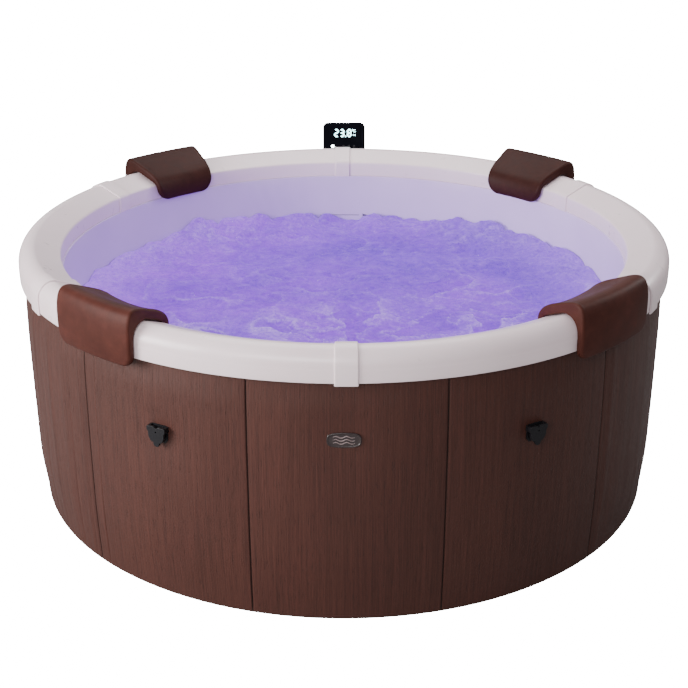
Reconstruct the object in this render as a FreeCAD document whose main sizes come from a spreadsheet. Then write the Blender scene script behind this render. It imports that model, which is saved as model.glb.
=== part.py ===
# Round portable hot tub: twelve foam wall boards in a wood-look jacket, a hung basin liner,
# a six-piece rim rail joined by clip sleeves, four headrests and a docked pump and heater unit.
# Frame: +Z up, origin on the floor at the tub's axis, front at -Y, pump unit at +Y. Millimetres.
import FreeCAD, Part
import math
import os

from FreeCAD import Placement, Rotation, Vector
import Sketcher

doc = FreeCAD.newDocument("HotTub")

# ---------------------------------------------------------------- driving dimensions
SIZES = [
    ("wall_radius", 900.0), ("jacket_thick", 3.0), ("jacket_foot", 3.0), ("jacket_top", 700.0), ("wall_swell", 6.5),
    ("board_outer", 896.5), ("board_inner", 809.0), ("board_rebate", 827.5), ("board_ledge", 655.0), ("board_top", 700.0),
    ("board_angle", 29.92), ("board_pitch", 30.0),
    ("mat_radius", 894.0), ("mat_thick", 6.0),
    ("liner_inner", 805.0), ("liner_outer", 808.5), ("liner_floor", 3.5), ("liner_hem_inner", 823.5), ("liner_hem_outer", 827.0),
    ("liner_step", 655.5), ("liner_hem_top", 704.0), ("liner_flange", 862.0), ("liner_corner", 12.0),
    ("rail_outer", 924.5), ("rail_inner", 808.0), ("rail_top", 738.5), ("rail_foot_out", 657.0), ("rail_foot_in", 662.0),
    ("rail_round_out", 40.0), ("rail_round_top", 25.0), ("rail_round_in", 8.0), ("rail_shoulder", 878.5), ("rail_corner", 709.0), ("rail_slot_out", 902.0), ("rail_slot_in", 823.0), ("rail_slot_top", 704.2),
    ("rail_angle", 59.8), ("sleeve_gap", 0.5), ("sleeve_thick", 4.0), ("sleeve_angle", 3.5), ("sleeve_drop", 5.0),
    ("rest_angle", 16.9), ("rest_gap", 1.0), ("rest_flap", 20.0), ("rest_lobe", 26.0), ("rest_ridge", 780.0),
    ("rest_flap_foot", 636.0), ("rest_lobe_foot", 666.0), ("rest_front_turn", 43.0), ("rest_rear_turn", 136.2),
    ("buckle_width", 54.0), ("buckle_height", 56.0), ("buckle_base", 4.0), ("buckle_depth", 20.0), ("buckle_level", 461.0),
    ("badge_width", 82.0), ("badge_height", 38.0), ("badge_thick", 4.0), ("badge_level", 506.0),
    ("ring_outer", 803.5), ("ring_inner", 776.0), ("ring_low", 78.0), ("ring_high", 110.0), ("ring_wall", 2.5),
    ("port_air", 96.0), ("port_suction", 170.0), ("port_return", 290.0), ("return_side", 38.0),
    ("pipe_radius", 18.0), ("pipe_bore", 15.0), ("thread_radius", 23.5), ("nut_bore", 24.0), ("nut_radius", 34.0),
    ("air_radius", 13.0), ("air_bore", 10.5), ("air_thread", 18.0), ("air_nut_bore", 18.5), ("air_nut_radius", 27.0),
    ("fitting_end", 915.0), ("stub_start", 916.0), ("nut_start", 909.0), ("nut_end", 928.0),
    ("unit_front", 932.0), ("unit_depth", 298.0), ("unit_width", 380.0), ("unit_wall", 4.0), ("unit_top", 600.0), ("cover_top", 630.0),
    ("base_low", 12.0), ("base_high", 26.0), ("foot_radius", 18.0),
    ("hinge_y", 946.0), ("hinge_z", 645.0), ("hinge_pin", 3.0), ("screen_width", 150.0), ("screen_height", 150.0), ("screen_thick", 24.0),
    ("screen_lean", 22.0), ("screen_start", 18.0),
    ("lamp_radius", 38.0), ("lamp_depth", 11.0), ("lamp_level", 250.0),
    ("filter_radius", 62.0), ("filter_low", 84.0), ("filter_high", 254.0), ("filter_centre", 712.0),
    ("drain_level", 50.0), ("drain_turn", 150.0),
]
sheet = doc.addObject("Spreadsheet::Sheet", "Params")
for row, (alias, value) in enumerate(SIZES, start=1):
    sheet.set("A%d" % row, alias)
    sheet.set("B%d" % row, str(value))
    sheet.setAlias("B%d" % row, alias)
doc.recompute()


class Dim:
    """A size as a number and as the spreadsheet expression that drives it."""

    def __init__(self, v, e):
        self.v, self.e = float(v), e

    def _mix(self, other, op, swap=False):
        o = other if isinstance(other, Dim) else Dim(other, repr(float(other)))
        a, b = (o, self) if swap else (self, o)
        v = {"+": a.v + b.v, "-": a.v - b.v, "*": a.v * b.v, "/": a.v / b.v if b.v else 0.0}[op]
        return Dim(v, "(%s %s %s)" % (a.e, op, b.e))

    def __add__(self, o): return self._mix(o, "+")
    def __radd__(self, o): return self._mix(o, "+", True)
    def __sub__(self, o): return self._mix(o, "-")
    def __rsub__(self, o): return self._mix(o, "-", True)
    def __mul__(self, o): return self._mix(o, "*")
    def __rmul__(self, o): return self._mix(o, "*", True)
    def __truediv__(self, o): return self._mix(o, "/")
    def __neg__(self): return self._mix(0.0, "-", True)


D = {alias: Dim(value, "Params." + alias) for alias, value in SIZES}
V = {alias: float(value) for alias, value in SIZES}
parts = {}


def num(x):
    return x.v if isinstance(x, Dim) else float(x)


def bind(obj, prop, x):
    if isinstance(x, Dim):
        obj.setExpression(prop, x.e)
    else:
        setattr(obj, prop, x)


def keep(obj, label):
    obj.Label = label
    parts[label] = obj
    return obj


def turn(degrees):
    """Turns a piece built along +X to an angle counted from the front (-Y), anticlockwise seen from above."""
    return Placement(Vector(0, 0, 0), Rotation(Vector(0, 0, 1), degrees - 90.0))


# ---------------------------------------------------------------- PartDesign helpers
def origin_plane(body, role):
    return [f for f in body.Origin.OriginFeatures if f.Role == role][0]


def sketch_polygon(body, name, role, points, offset=None):
    """A closed polygon sketch; each corner is placed by two constraints bound to the sheet."""
    sk = body.newObject("Sketcher::SketchObject", name)
    sk.AttachmentSupport = [(origin_plane(body, role), "")]
    sk.MapMode = "FlatFace"
    if offset is not None:
        sk.AttachmentOffset = Placement(Vector(0, 0, num(offset)), Rotation())
    n = len(points)
    xy = [(num(a), num(b)) for a, b in points]
    for i in range(n):
        a, b = xy[i], xy[(i + 1) % n]
        sk.addGeometry(Part.LineSegment(Vector(a[0], a[1], 0), Vector(b[0], b[1], 0)), False)
    for i in range(n):
        sk.addConstraint(Sketcher.Constraint("Coincident", i, 2, (i + 1) % n, 1))
    for i, (px, py) in enumerate(points):
        for kind, axis, p in (("DistanceX", -2, px), ("DistanceY", -1, py)):
            if abs(num(p)) < 1e-9:
                sk.addConstraint(Sketcher.Constraint("PointOnObject", i, 1, axis))
            else:
                c = sk.addConstraint(Sketcher.Constraint(kind, -1, 1, i, 1, num(p)))
                if isinstance(p, Dim):
                    sk.renameConstraint(c, "%s_%d" % ("u" if kind == "DistanceX" else "w", i))
                    sk.setExpression("Constraints.%s_%d" % ("u" if kind == "DistanceX" else "w", i), p.e)
    return sk


def revolved(name, points, angle):
    """A body made by turning a profile in the XZ plane about Z, half the angle to each side of +X."""
    body = doc.addObject("PartDesign::Body", name)
    sk = sketch_polygon(body, name + "_profile", "XZ_Plane", points)
    rev = body.newObject("PartDesign::Revolution", name + "_turned")
    rev.Profile = sk
    rev.ReferenceAxis = (sk, ["V_Axis"])
    if num(angle) >= 359.99:
        rev.Angle = 360.0
    else:
        rev.Midplane = True
        bind(rev, "Angle", angle)
    body.Tip = rev
    return body


def grooved(body, name, points, angle=360.0):
    sk = sketch_polygon(body, name + "_profile", "XZ_Plane", points)
    g = body.newObject("PartDesign::Groove", name)
    g.Profile = sk
    g.ReferenceAxis = (sk, ["V_Axis"])
    g.Angle = angle
    body.Tip = g
    return g


def rounded(body, name, radius, test):
    """Rounds every edge of the body's tip that passes the test."""
    doc.recompute()
    tip = body.Tip
    edges = ["Edge%d" % (i + 1) for i, e in enumerate(tip.Shape.Edges) if test(e)]
    if not edges:
        raise RuntimeError("no edge to round for " + name)
    f = body.newObject("PartDesign::Fillet", name)
    f.Base = (tip, edges)
    bind(f, "Radius", radius)
    body.Tip = f
    return f


def ring_edge(r, z):
    def test(e):
        c = e.Curve
        return hasattr(c, "Radius") and abs(c.Radius - r) < 0.3 and abs(c.Center.z - z) < 0.3
    return test


def padded(name, role, points, length, offset=None, both=False):
    body = doc.addObject("PartDesign::Body", name)
    sk = sketch_polygon(body, name + "_profile", role, points, offset)
    pad = body.newObject("PartDesign::Pad", name + "_pad")
    pad.Profile = sk
    bind(pad, "Length", length)
    if both:
        pad.Midplane = True
    body.Tip = pad
    return body


# ---------------------------------------------------------------- Part helpers
AXES = {"Z": Rotation(), "Y": Rotation(Vector(1, 0, 0), -90), "X": Rotation(Vector(0, 1, 0), 90)}


def place(obj, at, rot):
    obj.Placement = Placement(Vector(*[num(c) for c in at]), rot)
    for k, c in zip("xyz", at):
        if isinstance(c, Dim):
            obj.setExpression("Placement.Base." + k, c.e)


def rod(name, radius, length, at, axis="Y"):
    """A cylinder that starts at a point and runs along +axis."""
    o = doc.addObject("Part::Cylinder", name)
    bind(o, "Radius", radius)
    bind(o, "Height", length)
    place(o, at, AXES[axis])
    return o


def block(name, x, y, z, at):
    o = doc.addObject("Part::Box", name)
    bind(o, "Length", x)
    bind(o, "Width", y)
    bind(o, "Height", z)
    place(o, at, Rotation())
    return o


def joined(name, items):
    if len(items) == 1:
        return items[0]
    o = doc.addObject("Part::MultiFuse", name)
    o.Shapes = items
    return o


def cut(name, base, tools):
    o = doc.addObject("Part::Cut", name)
    o.Base = base
    o.Tool = joined(name + "_tools", tools)
    return o


def common(name, base, tool):
    o = doc.addObject("Part::Common", name)
    o.Base = base
    o.Tool = tool
    return o


def softened(name, base, radius, test):
    doc.recompute()
    o = doc.addObject("Part::Fillet", name)
    o.Base = base
    o.Edges = [(i + 1, radius, radius) for i, e in enumerate(base.Shape.Edges) if test(e)]
    if not o.Edges:
        raise RuntimeError("no edge to soften for " + name)
    return o


def shaped(name, shape):
    o = doc.addObject("Part::Feature", name)
    o.Shape = shape
    return o


# ================================================================ ground mat and liner
mat = doc.addObject("PartDesign::Body", "GroundMat")
msk = mat.newObject("Sketcher::SketchObject", "GroundMat_outline")
msk.AttachmentSupport = [(origin_plane(mat, "XY_Plane"), "")]
msk.MapMode = "FlatFace"
msk.addGeometry(Part.Circle(Vector(0, 0, 0), Vector(0, 0, 1), V["mat_radius"]), False)
msk.addConstraint(Sketcher.Constraint("Coincident", 0, 3, -1, 1))
c = msk.addConstraint(Sketcher.Constraint("Radius", 0, V["mat_radius"]))
msk.renameConstraint(c, "radius")
msk.setExpression("Constraints.radius", "Params.mat_radius")
mpad = mat.newObject("PartDesign::Pad", "GroundMat_pad")
mpad.Profile = msk
bind(mpad, "Length", D["mat_thick"])
mat.Tip = mpad
keep(mat, "ground_mat")

floor = D["mat_thick"]
inner_floor = D["mat_thick"] + D["liner_floor"]
liner = revolved("BasinLiner", [
    (0.0, floor), (D["liner_outer"], floor), (D["liner_outer"], D["liner_step"]), (D["liner_hem_outer"], D["liner_step"]),
    (D["liner_hem_outer"], D["board_top"] + 0.4), (D["liner_flange"], D["board_top"] + 0.4), (D["liner_flange"], D["liner_hem_top"]),
    (D["liner_hem_inner"], D["liner_hem_top"]), (D["liner_hem_inner"], D["liner_step"] + 3.5), (D["liner_inner"], D["liner_step"] + 3.5),
    (D["liner_inner"], inner_floor + D["liner_corner"]), (D["liner_inner"] - D["liner_corner"], inner_floor), (0.0, inner_floor)], 360.0)
suction_hole = rod("LinerSuctionHole", D["thread_radius"] + 0.5, 60.0, (0.0, 780.0, D["port_suction"]))
return_hole = rod("LinerReturnHole", D["thread_radius"] + 0.5, 60.0, (D["return_side"], 780.0, D["port_return"]))
air_hole = rod("LinerAirHole", D["air_radius"] + 0.5, 60.0, (0.0, 780.0, D["port_air"]))
drain_axis = Vector(math.sin(math.radians(V["drain_turn"])), -math.cos(math.radians(V["drain_turn"])), 0)


def radial_rod(name, radius, r0, length, angle, z):
    """A cylinder that runs outwards from the tub's axis at an angle from the front."""
    o = doc.addObject("Part::Cylinder", name)
    bind(o, "Radius", radius)
    bind(o, "Height", length)
    a = math.radians(angle)
    d = Vector(math.sin(a), -math.cos(a), 0)
    o.Placement = Placement(d * r0 + Vector(0, 0, num(z)), Rotation(Vector(0, 0, 1), d))
    if isinstance(z, Dim):
        o.setExpression("Placement.Base.z", z.e)
    return o


liner_drain = radial_rod("LinerDrainHole", 19.5, 780.0, 60.0, V["drain_turn"], D["drain_level"])
keep(cut("BasinLinerCut", liner, [suction_hole, return_hole, air_hole, liner_drain]), "basin_liner")

# the wall swells a little between its foot and its top: heights, and the share of the swell reached there
SWELL = [(120.0, 0.62), (300.0, 1.0), (480.0, 1.0), (590.0, 0.66), (650.0, 0.15)]


def swollen(radius):
    return [(radius + D["wall_swell"] * share, z) for z, share in SWELL]


# ================================================================ wall boards
board_profile = [(D["board_inner"], floor), (D["board_outer"], floor)] + swollen(D["board_outer"]) + [(D["board_outer"], D["board_top"]),
                 (D["board_rebate"], D["board_top"]), (D["board_rebate"], D["board_ledge"]), (D["board_inner"], D["board_ledge"])]
for i in range(12):
    name = "WallBoard%02d" % (i + 1)
    b = revolved(name, board_profile, D["board_angle"])
    b.Placement = turn(30.0 * i)
    label = "wall_board_%02d" % (i + 1)
    if i == 6:  # the rear board takes the three pipe fittings
        tools = [rod("BoardSuctionHole", D["thread_radius"] + 0.5, 130.0, (0.0, 790.0, D["port_suction"])),
                 rod("BoardReturnHole", D["thread_radius"] + 0.5, 130.0, (D["return_side"], 790.0, D["port_return"])),
                 rod("BoardAirHole", D["air_radius"] + 0.5, 130.0, (0.0, 790.0, D["port_air"]))]
        keep(cut(name + "_drilled", b, tools), label)
    elif i == 5:  # the drain runs through this board
        keep(cut(name + "_drilled", b, [radial_rod("BoardDrainHole", 19.5, 790.0, 130.0, V["drain_turn"], D["drain_level"])]), label)
    else:
        keep(b, label)

# ================================================================ jacket
jacket_in = D["wall_radius"] - D["jacket_thick"]
jacket = revolved("WallJacket", [(jacket_in, D["jacket_foot"]), (D["wall_radius"], D["jacket_foot"])] + swollen(D["wall_radius"]) +
                  [(D["wall_radius"], D["jacket_top"]), (jacket_in, D["jacket_top"])] + swollen(jacket_in)[::-1], 360.0)
keep(cut("WallJacketCut", jacket, [
    rod("JacketSuctionHole", D["thread_radius"] + 0.5, 60.0, (0.0, 860.0, D["port_suction"])),
    rod("JacketReturnHole", D["thread_radius"] + 0.5, 60.0, (D["return_side"], 860.0, D["port_return"])),
    rod("JacketAirHole", D["air_radius"] + 0.5, 60.0, (0.0, 860.0, D["port_air"])),
    radial_rod("JacketDrainHole", 19.5, 860.0, 60.0, V["drain_turn"], D["drain_level"])]), "wall_jacket")


# ================================================================ rim rail and its sleeves
def rail_body(name, grow, angle, foot_out, foot_in):
    """The rail's outside shape, grown outwards by a clearance: a flat-footed bar, deeply rounded outside, its top sloping
    down to a small corner above an upright inner face."""
    ro, ri, top = D["rail_outer"] + grow, D["rail_inner"] - grow, D["rail_top"] + grow
    shoulder, corner = D["rail_shoulder"] - grow * 0.2, D["rail_corner"] + grow * 0.67
    b = revolved(name, [(ri, foot_in), (D["rail_inner"] + 50.0, foot_in), (D["rail_inner"] + 50.0, foot_out), (ro, foot_out), (ro, top),
                        (shoulder, top), (ri, corner)], angle)
    rounded(b, name + "_outer_round", D["rail_round_out"] + grow, ring_edge(ro.v, top.v))
    rounded(b, name + "_top_round", D["rail_round_top"] + grow, ring_edge(shoulder.v, top.v))
    rounded(b, name + "_inner_round", D["rail_round_in"] + grow, ring_edge(ri.v, corner.v))
    return b


for i in range(6):
    name = "RimRail%d" % (i + 1)
    b = rail_body(name, 0.0, D["rail_angle"], D["rail_foot_out"], D["rail_foot_in"])
    grooved(b, name + "_slot", [(D["rail_slot_in"], 600.0), (D["rail_slot_out"], 600.0), (D["rail_slot_out"], D["rail_slot_top"]),
                                (D["rail_slot_in"], D["rail_slot_top"])])
    b.Placement = turn(30.0 + 60.0 * i)
    keep(b, "rim_rail_%d" % (i + 1))

outer = rail_body("SleeveOuter", D["sleeve_gap"] + D["sleeve_thick"], D["sleeve_angle"],
                  D["rail_foot_out"] - D["sleeve_drop"], D["rail_foot_in"] - 2.0)
hollow = rail_body("SleeveHollow", D["sleeve_gap"], D["sleeve_angle"] + 1.0, D["rail_foot_out"] - 20.0, D["rail_foot_in"] - 20.0)
sleeve = cut("SleeveMaster", outer, [hollow])
doc.recompute()
keep(shaped("RailSleeves", Part.makeCompound([sleeve.Shape.transformed(turn(60.0 * i).toMatrix()) for i in range(6)])), "rail_sleeves")


# ================================================================ headrests
def headrest(name, label, angle):
    ro = D["rail_outer"] + D["rest_gap"]
    ri = D["rail_inner"] - D["rest_gap"]
    ridge, foot = D["rest_ridge"], D["rest_lobe_foot"]
    out_, in_ = ro + D["rest_flap"], ri - D["rest_lobe"]
    b = revolved(name, [
        (in_ + 1.0, foot), (ri + 8.0, foot), (ro - 20.0, D["rest_flap_foot"]), (out_, D["rest_flap_foot"]),
        (out_ + 2.5, D["rest_flap_foot"] + 57.0), (out_ + 1.0, ridge - 38.0), (out_ - 3.0, ridge - 20.0), (ro + 9.5, ridge - 8.0), (ro, ridge - 2.0),
        (ro - 12.0, ridge), (ro - 28.0, ridge - 3.0), (ro - 48.0, ridge - 9.0), (ro - 70.0, ridge - 16.5), (ro - 90.0, ridge - 24.5),
        (ri + 9.0, ridge - 34.5), (ri - 8.0, ridge - 47.0), (ri - 19.0, ridge - 63.0), (in_ + 1.0, ridge - 81.0), (in_, ridge - 98.0)], D["rest_angle"])
    core = rail_body(name + "Core", D["rest_gap"], D["rest_angle"] + 2.0, D["rest_flap_foot"] - 10.0, D["rest_flap_foot"] - 14.0)
    c = cut(name + "Cut", b, [core])
    c.Placement = turn(angle)
    keep(c, label)


headrest("HeadrestFrontLeft", "headrest_front_left", -V["rest_front_turn"] + 2.5)
headrest("HeadrestFrontRight", "headrest_front_right", V["rest_front_turn"] + 2.5)
headrest("HeadrestRearLeft", "headrest_rear_left", -V["rest_rear_turn"] - 1.6)
headrest("HeadrestRearRight", "headrest_rear_right", V["rest_rear_turn"] - 1.6)

# ================================================================ cover buckle receptacles
doc.recompute()


def buckle_shape():
    """One receptacle, built on the +X side: a base plate, two cheeks, and a tapering face plate in front of a slot."""
    x0 = V["wall_radius"] + V["wall_swell"] + 0.2
    wide, high, base, deep = V["buckle_width"], V["buckle_height"], V["buckle_base"], V["buckle_depth"]

    def plate(outline, x_from, x_to):
        pts = [Vector(x_from, y, z) for y, z in outline]
        return Part.Face(Part.makePolygon(pts + [pts[0]])).extrude(Vector(x_to - x_from, 0, 0))

    h = high / 2
    w = wide / 2
    back = plate([(-w + 4, h - 4), (-w + 8, h), (w - 8, h), (w - 4, h - 4), (w - 4, -h + 18), (w - 10, -h + 10), (-w + 10, -h + 10), (-w + 4, -h + 18)],
                 x0, x0 + base)
    # the face steps in three times on its way down to a rounded tongue
    face = plate([(-w, h - 3), (-w + 3, h), (-6, h), (0, h - 5), (6, h), (w - 3, h), (w, h - 3), (w, h - 11), (w - 4, h - 16), (w - 4, h - 27), (w - 8, h - 36),
                  (w - 13, h - 41), (9, h - 42), (8, h - 48), (5, h - 52), (0, h - 53.5), (-5, h - 52), (-8, h - 48), (-9, h - 42), (-w + 13, h - 41),
                  (-w + 8, h - 36), (-w + 4, h - 27), (-w + 4, h - 16), (-w, h - 11)], x0 + deep - 6.0, x0 + deep)
    face = face.cut(Part.makeCylinder(2.2, 10, Vector(x0 + deep - 8.0, 0, h - 14), Vector(1, 0, 0)))
    roof_l = plate([(-w + 1, h - 1), (-w + 1, h - 14), (-w + 7, h - 14), (-w + 7, h - 1)], x0 + 1, x0 + deep - 3.0)
    roof_r = plate([(w - 1, h - 1), (w - 1, h - 14), (w - 7, h - 14), (w - 7, h - 1)], x0 + 1, x0 + deep - 3.0)
    spine = plate([(-5, h - 22), (5, h - 22), (5, h - 44), (-5, h - 44)], x0 + 1, x0 + deep - 3.0)
    s = back.fuse([face, roof_l, roof_r, spine]).removeSplitter()
    edges = [e for e in s.Edges if abs(e.BoundBox.XMin - (x0 + deep)) < 1e-4 and e.Length > 2.0 and not hasattr(e.Curve, "Radius")]
    try:
        s2 = s.makeFillet(0.9, edges)
        if s2.isValid() and s2.Volume > 0.9 * s.Volume:
            s = s2
    except Exception:
        pass
    return s


bk = buckle_shape()
buckles = []
for i in range(6):
    s = bk.copy()
    s.translate(Vector(0, 0, V["buckle_level"]))
    buckles.append(s.transformed(turn(30.6 + 60.0 * i).toMatrix()))
keep(shaped("CoverBuckles", Part.makeCompound(buckles)), "cover_buckles")

# ================================================================ badge
badge = padded("Badge", "XZ_Plane", [(-(D["badge_width"] / 2), -(D["badge_height"] / 2)), (D["badge_width"] / 2, -(D["badge_height"] / 2)),
                                     (D["badge_width"] / 2, D["badge_height"] / 2), (-(D["badge_width"] / 2), D["badge_height"] / 2)], D["badge_thick"])
rounded(badge, "Badge_corners", 14.0, lambda e: abs(e.Length - V["badge_thick"]) < 1e-3)
doc.recompute()
bb = badge.Shape.BoundBox
badge.Placement = Placement(Vector(0, -(V["wall_radius"] + V["wall_swell"] + 0.2) - bb.YMax, V["badge_level"]), Rotation())
keep(badge, "badge")

# ================================================================ drain
ang = V["drain_turn"]
dv = cut("DrainValve", joined("DrainValveBody", [
    radial_rod("DrainTube", 17.5, 790.0, 130.0, ang, D["drain_level"]),
    radial_rod("DrainInnerFlange", 27.0, 789.0, 14.0, ang, D["drain_level"]),
    radial_rod("DrainOuterFlange", 27.0, 903.0, 6.0, ang, D["drain_level"])]),
    [radial_rod("DrainBore", 12.0, 780.0, 160.0, ang, D["drain_level"])])
keep(dv, "drain_valve")
cap_ribs = []
doc.recompute()
a = math.radians(ang)
out = Vector(math.sin(a), -math.cos(a), 0)
side = Vector(math.cos(a), math.sin(a), 0)
centre = out * 911.0 + Vector(0, 0, V["drain_level"])
cap = Part.makeCylinder(23.0, 18.0, centre, out).cut(Part.makeCylinder(18.0, 11.0, centre - out * 0.5, out))
for k in range(12):
    t = math.radians(30 * k)
    p = side * (23.0 * math.cos(t)) + Vector(0, 0, 23.0 * math.sin(t))
    cap = cap.fuse(Part.makeCylinder(2.0, 18.0, centre + p, out))
keep(shaped("DrainCap", cap.removeSplitter()), "drain_cap")

# ================================================================ air ring at the foot of the basin wall
ring = revolved("AirRing", [(D["ring_inner"], D["ring_low"] + 8.0), (D["ring_outer"] - 12.0, D["ring_low"]), (D["ring_outer"], D["ring_low"] + 6.0),
                            (D["ring_outer"], D["ring_high"]), (D["ring_inner"] + 6.0, D["ring_high"]), (D["ring_inner"], D["ring_high"] - 8.0)], 360.0)
grooved(ring, "AirRing_duct", [(D["ring_inner"] + D["ring_wall"], D["ring_low"] + 11.0), (D["ring_outer"] - 11.0, D["ring_low"] + 4.0),
                               (D["ring_outer"] - D["ring_wall"], D["ring_low"] + 8.0), (D["ring_outer"] - D["ring_wall"], D["ring_high"] - D["ring_wall"]),
                               (D["ring_inner"] + 8.0, D["ring_high"] - D["ring_wall"]), (D["ring_inner"] + D["ring_wall"], D["ring_high"] - 9.5)])
doc.recompute()
jets = [Part.makeCylinder(2.0, 8.0, Vector(V["ring_inner"] * math.cos(t) - 4 * math.cos(t), V["ring_inner"] * math.sin(t) - 4 * math.sin(t), V["ring_low"] + 16.0),
                          Vector(math.cos(t), math.sin(t), 0)) for t in [math.radians(10.0 * k + 5.0) for k in range(36)]]
inlet = Part.makeCylinder(V["air_radius"] + 0.4, 12.0, Vector(0, V["ring_outer"] - 8.0, V["port_air"]), Vector(0, 1, 0))
keep(shaped("AirRingDrilled", ring.Shape.cut(Part.makeCompound(jets)).cut(inlet)), "air_ring")

# ================================================================ lamps
def lamp(shape_radius, r_from, r_to, z, angle, flare=0.0):
    t = math.radians(angle)
    d = Vector(math.sin(t), -math.cos(t), 0)
    return Part.makeCone(shape_radius - flare, shape_radius, r_to - r_from, d * r_from + Vector(0, 0, z), d) if flare else \
        Part.makeCylinder(shape_radius, r_to - r_from, d * r_from + Vector(0, 0, z), d)


LAMPS = (45.0, 135.0, 225.0, 315.0)
r_out = V["liner_inner"] - 1.2
shells, lenses = [], []
for t in LAMPS:
    body_ = lamp(V["lamp_radius"], r_out - V["lamp_depth"], r_out, V["lamp_level"], t, 4.0)
    shells.append(body_.cut(lamp(V["lamp_radius"] - 8.0, r_out - V["lamp_depth"] - 1.0, r_out - 3.0, V["lamp_level"], t)))
    lenses.append(lamp(V["lamp_radius"] - 8.3, r_out - V["lamp_depth"] - 1.5, r_out - 3.2, V["lamp_level"], t, 1.5))
keep(shaped("LampHousings", Part.makeCompound(shells)), "lamp_housings")
keep(shaped("LampLenses", Part.makeCompound(lenses)), "lamp_lenses")

# ================================================================ wall fittings, nuts and filter
end = D["fitting_end"]


def fitting(name, label, x, z, radius, thread, bore, inner_from, flange_r, flange_to):
    bodies = [rod(name + "Tube", radius, end - inner_from, (x, inner_from, z)),
              rod(name + "Flange", flange_r, flange_to - inner_from, (x, inner_from, z)),
              rod(name + "Thread", thread, end - 906.0, (x, 906.0, z))]
    keep(cut(name, joined(name + "Body", bodies), [rod(name + "Bore", bore, 180.0, (x, inner_from - 20.0, z))]), label)


fitting("SuctionFitting", "suction_fitting", 0.0, D["port_suction"], D["thread_radius"], D["thread_radius"], D["pipe_bore"], 779.0, 44.0, 802.0)
fitting("AirFitting", "air_fitting", 0.0, D["port_air"], D["air_radius"], D["air_thread"], D["air_bore"], 798.5, D["air_radius"], 801.0)
# the return fitting ends in a slotted nozzle face
nozzle = cut("ReturnFittingTube", joined("ReturnFittingBody", [
    rod("ReturnTube", D["thread_radius"], end - 780.0, (D["return_side"], 780.0, D["port_return"])),
    rod("ReturnFlange", 44.0, 20.0, (D["return_side"], 780.0, D["port_return"]))]),
    [rod("ReturnBore", D["pipe_bore"], 160.0, (D["return_side"], 784.0, D["port_return"]))] +
    [block("ReturnSlot%d" % k, 24.0 - 4 * abs(k), 14.0, 3.4, (D["return_side"] - 12.0 + 2 * abs(k), 775.0, D["port_return"] - 1.7 + 7.0 * k)) for k in (-1, 0, 1)])
keep(nozzle, "return_fitting")


def union_nut(name, label, x, z, bore, radius, neck):
    """A ribbed ring over both pipe ends, with a lip that holds the pump side's collar."""
    doc.recompute()
    y0, y1 = V["nut_start"], V["nut_end"]
    s = Part.makeCylinder(radius - 3.0, y1 - y0, Vector(x, y0, z), Vector(0, 1, 0))
    for k in range(12):
        t = math.radians(30 * k + 15)
        s = s.fuse(Part.makeCylinder(3.0, y1 - y0 - 2, Vector(x + (radius - 3.5) * math.cos(t), y0 + 1, z + (radius - 3.5) * math.sin(t)), Vector(0, 1, 0)))
    s = s.cut(Part.makeCylinder(bore, y1 - y0 - 3.5, Vector(x, y0 - 0.5, z), Vector(0, 1, 0)))
    s = s.cut(Part.makeCylinder(neck, 20.0, Vector(x, y1 - 10.0, z), Vector(0, 1, 0)))
    keep(shaped(name, s.removeSplitter()), label)


union_nut("UnionNutSuction", "union_nut_suction", 0.0, V["port_suction"], V["nut_bore"], V["nut_radius"], V["pipe_radius"] + 0.5)
union_nut("UnionNutReturn", "union_nut_return", V["return_side"], V["port_return"], V["nut_bore"], V["nut_radius"], V["pipe_radius"] + 0.5)
union_nut("UnionNutAir", "union_nut_air", 0.0, V["port_air"], V["air_nut_bore"], V["air_nut_radius"], V["air_radius"] + 0.5)

fy, fr, fl, fh = D["filter_centre"], D["filter_radius"], D["filter_low"], D["filter_high"]
windows = []
for k in range(10):
    t = 36.0 * k + 18.0
    if abs(t - 90.0) < 40.0:  # the side that faces the wall fitting stays closed
        continue
    o = doc.addObject("Part::Box", "FilterSlot%d" % k)
    o.Length, o.Width, o.Height = 30.0, 16.0, 96.0
    p = Placement(Vector(0, V["filter_centre"], V["filter_low"] + 32.0), Rotation(Vector(0, 0, 1), t))
    o.Placement = p.multiply(Placement(Vector(V["filter_radius"] - 15.0, -8.0, 0), Rotation()))
    windows.append(o)
keep(cut("FilterHousing", joined("FilterHousingBody", [
    rod("FilterCan", fr, fh - fl, (0.0, fy, fl), "Z"),
    rod("FilterNeck", 30.0, 66.6, (0.0, fy, D["port_suction"]), "Y")]),
    [rod("FilterInside", fr - 3.0, fh - fl, (0.0, fy, fl + 4.0), "Z"),
     rod("FilterNeckBore", D["pipe_bore"], 80.0, (0.0, fy, D["port_suction"]), "Y")] + windows), "filter_housing")
keep(cut("FilterCartridge", joined("FilterCartridgeBody", [
    rod("FilterPleats", fr - 9.0, 148.0, (0.0, fy, fl + 10.0), "Z"),
    rod("FilterEndLow", fr - 6.0, 6.0, (0.0, fy, fl + 5.0), "Z"),
    rod("FilterEndHigh", fr - 6.0, 6.0, (0.0, fy, fl + 157.0), "Z")]),
    [rod("FilterCore", 20.0, 200.0, (0.0, fy, fl), "Z")]), "filter_cartridge")
keep(cut("FilterCap", joined("FilterCapBody", [
    rod("FilterCapSkirt", fr + 5.0, 16.0, (0.0, fy, fh - 8.0), "Z"),
    rod("FilterCapKnob", 22.0, 12.0, (0.0, fy, fh + 8.0), "Z"),
    block("FilterCapGrip", 74.0, 12.0, 12.0, (-37.0, fy - 6.0, fh + 8.0))]),
    [rod("FilterCapInside", fr + 0.6, 10.0, (0.0, fy, fh - 9.0), "Z")]), "filter_cap")

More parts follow.
